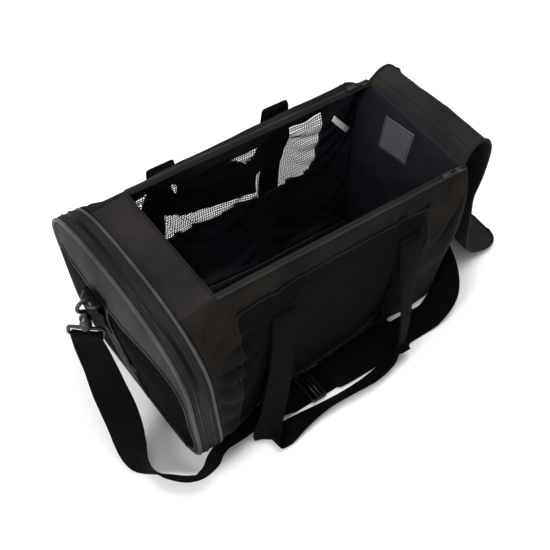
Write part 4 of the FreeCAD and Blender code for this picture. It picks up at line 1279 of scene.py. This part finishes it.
def build_top_zips():
    for name, side in SIDES:
        x0, x1 = OPEN_FRONT + 2, OPEN_REAR - 3
        low, high = span(name + "_slider")

        def line(y, z, x0=x0, x1=x1, side=side):
            return [rim_line(x, side, y, z) for x in np.linspace(x0, x1, 90)]
        tape = sheet(name + "_top_tape", [line(91.5, 281.6), line(93.5, 282.6), line(96, 283.2),
                                          line(98.2, 282.6)], (TAPE,), thick=0.8, flip=side > 0)
        rim = tube(name + "_edge_cord", line(98.6, 282.4), 1.7, EDGING, sides=8)
        inner = tube(name + "_edge_lip", line(91.6, 281.4), 1.1, OUTER, sides=8)
        place(join(name + "_top_edge", [tape, rim, inner]), "root", "zip_tape", name + "_zip_tape")
        corners = []
        for q in np.arange(x0 + 1, x1 - 1, 1.8):
            x, y, z = rim_line(q, side, 95.2, 282.8)
            corners += [(x + b, y + a, z + c) for a in (-1.6, 1.6)
                        for b, c in ((-0.55, 0), (0.55, 0), (0.4, 1.5), (-0.4, 1.5))]
        place(teeth(name + "_top_coil", corners), "root", "zip_tape")
        middle = (low + high) / 2
        body = box_mesh(name + "_slider_body", (high.x - low.x, high.y - low.y, 2.0),
                        (middle.x, middle.y, low.z + 1.8), METAL, bevel=0.8)
        arch = [(middle.x + dx, middle.y, low.z + dz)
                for dx, dz in ((-5, 2.5), (-3, 4.4), (3, 4.4), (5, 2.5))]
        bridge = tube(name + "_slider_bridge", spline(arch, 4), 1.0, METAL, sides=8)
        place(join(name + "_zip_slider", [body, bridge]), name + "_slider", "metal", name + "_slider")
        build_pull(name)


def build_pull(name):
    low, high = span(name + "_pull")
    y, z = (low.y + high.y) / 2, (low.z + high.z) / 2 + 0.2
    outline = [(high.x - 1, y - 1.6, z), (high.x - 1, y + 1.6, z), (high.x - 8, y + 2.6, z),
               (low.x + 2, y + 3.2, z), (low.x, y, z), (low.x + 2, y - 3.2, z), (high.x - 8, y - 2.6, z)]
    outline = spline(outline + outline[:1], 4)[:-1]
    ring = tube(name + "_pull_ring", outline, 0.85, METAL, closed=True, sides=8)
    leaf = box_mesh(name + "_pull_leaf", (12, 4.2, 0.9), (low.x + 8, y, z), METAL, bevel=0.3)
    place(join(name + "_zip_pull", [ring, leaf]), name + "_pull", "metal", name + "_pull")


def build_door_slider():
    turn = Matrix.Rotation(-math.atan(LEAN), 3, "Y")
    for node, name, size, bevel in (("door_slider", "hoop_slider_body", (8.6, 3.2, 12.6), 1.0),
                                    ("door_pull", "hoop_pull_leaf", (4.8, 1.2, 21.6), 0.5)):
        low, high = span(node)
        place(box_mesh(name, size, (low + high) / 2, METAL, bevel=bevel, turn=turn), node, "metal", node)


# ---------------------------------------------------------------- flap
FLAP_HALF = 90.0
FLAP_STEP = 3.0
FLAP_COLS = 61
# (x, z) down the flap's middle, from its hinge over the rear end to the floor
FLAP_LINE = [(214.5, 279), (216.5, 290), (220, 301), (229, 310.5), (241, 313), (252, 306), (261, 292),
             (267, 273), (269, 246), (267, 218), (263, 190), (268, 156), (276, 122), (286, 88), (300, 56),
             (318, 31), (341, 15), (366, 8), (393, 6)]
# where each length of the flap ends, the body before it and its own
FLAP_CUTS = [((229.5, 300.0), "root", "flap_a"), ((254.5, 294.5), "flap_a", "flap_b"),
             ((266.5, 233.5), "flap_b", "flap_c"), ((280.0, 108.0), "flap_c", "flap_d"),
             ((395.0, 0.0), "flap_d", "flap_e")]


def flap_point(line, i, v):
    """A point of the flap at step i of its line, with v from -1 to 1 across it."""
    x, z = line[i]
    before, after = line[max(i - 1, 0)], line[min(i + 1, len(line) - 1)]
    dx, dz = after[0] - before[0], after[1] - before[1]
    size = math.hypot(dx, dz)
    share = i / (len(line) - 1)
    half = FLAP_HALF + 4.5 * (1 - ease(share, 0.0, 0.3)) - 12.0 * ease(share, 0.55, 0.9)
    half -= 26.0 * (1 - math.sqrt(max(0.0, 1 - max(0.0, (share - 0.93) / 0.07) ** 2)))
    y = v * half
    wave = 1.4 * crease(share * 300, y, 0, 55, 6.6) + 0.8 * folds(share * 300, y, 0, 45, 3.9)
    lift = wave * ease(share, 0.0, 0.1) + 1.4 * ease(abs(v), 0.90, 1.0)
    z -= 12.0 * ease(v, -0.5, 1.0) * ease(z, 282, 306)
    return x - dz / size * lift, y, max(z + dx / size * lift, 2.4)


def cross_joint(piece, start, end):
    """Bake a piece's transform into its mesh; start and end, two points (x, z), have no effect."""
    start, end = ((x * MM, 0, z * MM) for x, z in (start, end))
    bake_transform(piece)
    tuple(start)
    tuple(end)


def build_flap():
    line = evenly(spline(FLAP_LINE, 10), FLAP_STEP)
    shares = [-1 + 2 * c / (FLAP_COLS - 1) for c in range(FLAP_COLS)]
    cuts = [0]
    for (x, z), _, _ in FLAP_CUTS[:-1]:
        cuts.append(min(range(len(line)), key=lambda i: (line[i][0] - x) ** 2 + (line[i][1] - z) ** 2))
    cuts.append(len(line) - 1)
    for (_, parent, child), first, last in zip(FLAP_CUTS, cuts, cuts[1:]):
        steps = range(first, last + 1)
        start, end = line[first], line[last]
        grid = [[flap_point(line, i, v) for v in shares] for i in steps]
        # the flap's back face wears the darker side cloth, which is painted shade
        piece = sheet(child + "_cloth", grid, (OUTER, SIDE_SHADED), thick=1.8, flip=True)
        cross_joint(piece, start, end)
        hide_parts(child)
        for side, letter in ((1, "l"), (-1, "r")):
            edge = [(x, y + side * 0.6, z) for x, y, z in (flap_point(line, i, side) for i in steps)]
            bind = tube(f"{child}_edge_{letter}", edge, 1.9, TAPE, sides=8, up=(0, 1, 0.01))
            cross_joint(bind, start, end)
    hem = tube("flap_hem", [flap_point(line, len(line) - 1, v) for v in shares], 1.9, TAPE, sides=8,
               up=(1, 0, 0))
    place(hem, "flap_e", "zip_tape")


# ---------------------------------------------------------------- camera, light and floor
def add_camera():
    azimuth, elevation, tilt = (math.radians(a) for a in (-42.674, 50.767, 7.597))
    back = Vector((math.sin(azimuth) * math.cos(elevation), -math.cos(azimuth) * math.cos(elevation),
                   math.sin(elevation)))
    level = Vector((math.cos(azimuth), math.sin(azimuth), 0))
    upright = level.cross(-back)
    right = math.cos(tilt) * level + math.sin(tilt) * upright
    up = -math.sin(tilt) * level + math.cos(tilt) * upright
    data = bpy.data.cameras.new("camera")
    data.lens = 69.445
    data.sensor_width = 36.0
    camera = bpy.data.objects.new("camera", data)
    matrix = Matrix((right, up, back)).transposed().to_4x4()
    matrix.translation = Vector((-627.536, -679.114, 1235.86)) * MM
    camera.matrix_world = matrix
    bpy.context.scene.collection.objects.link(camera)
    bpy.context.scene.camera = camera


def add_area(name, location, target, side, power):
    """A square soft light; its places and its side are in metres."""
    data = bpy.data.lights.new(name, "AREA")
    data.shape = "RECTANGLE"
    data.size = data.size_y = side
    data.energy = power
    light = bpy.data.objects.new(name, data)
    light.location = location
    light.rotation_euler = (Vector(target) - Vector(location)).to_track_quat("-Z", "Y").to_euler()
    bpy.context.scene.collection.objects.link(light)


def add_studio():
    finish = Finish("pale_floor")
    finish.set("Base Color", finish.ramp(finish.cloud(3.0), (0.90,) * 3, (0.93,) * 3))
    finish.set("Roughness", 0.9)
    half = 4000.0
    corners = [(-half, -half, 0), (half, -half, 0), (half, half, 0), (-half, half, 0)]
    make("floor", corners, [(0, 1, 2, 3)], mats=(finish.mat,), smooth=False)
    world = bpy.data.worlds.new("studio")
    world.use_nodes = True
    world.node_tree.nodes["Background"].inputs[0].default_value = (1, 1, 1, 1)
    world.node_tree.nodes["Background"].inputs[1].default_value = 0.55
    bpy.context.scene.world = world
    add_area("key", (-2.0, -0.5, 1.1), (0, 0, 0.15), 0.9, 48.0)
    add_area("top", (0.2, 0.2, 2.2), (0, 0, 0.1), 1.8, 44.0)
    bpy.context.scene.view_settings.view_transform = "Standard"


# ---------------------------------------------------------------- everything
def finish_plain(node, mat):
    """A CAD node that stays as it is, with a finished material."""
    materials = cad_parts[node].data.materials
    materials.clear()
    materials.append(mat)


add_camera()
build_walls()
build_side_nets()
build_strip()
build_rear()
build_bottom()
build_labels()
build_insert()
build_hoops()
build_door()
build_tabs()
build_clip(FRONT_CLIP, FRONT_EYE_TURN)
build_clip(REAR_CLIP, math.radians(90))
build_strap()
build_fittings()
build_bands()
build_left_handle()
build_right_handle()
build_top_zips()
build_door_slider()
build_flap()
finish_plain("base_board", BOARD)
add_studio()
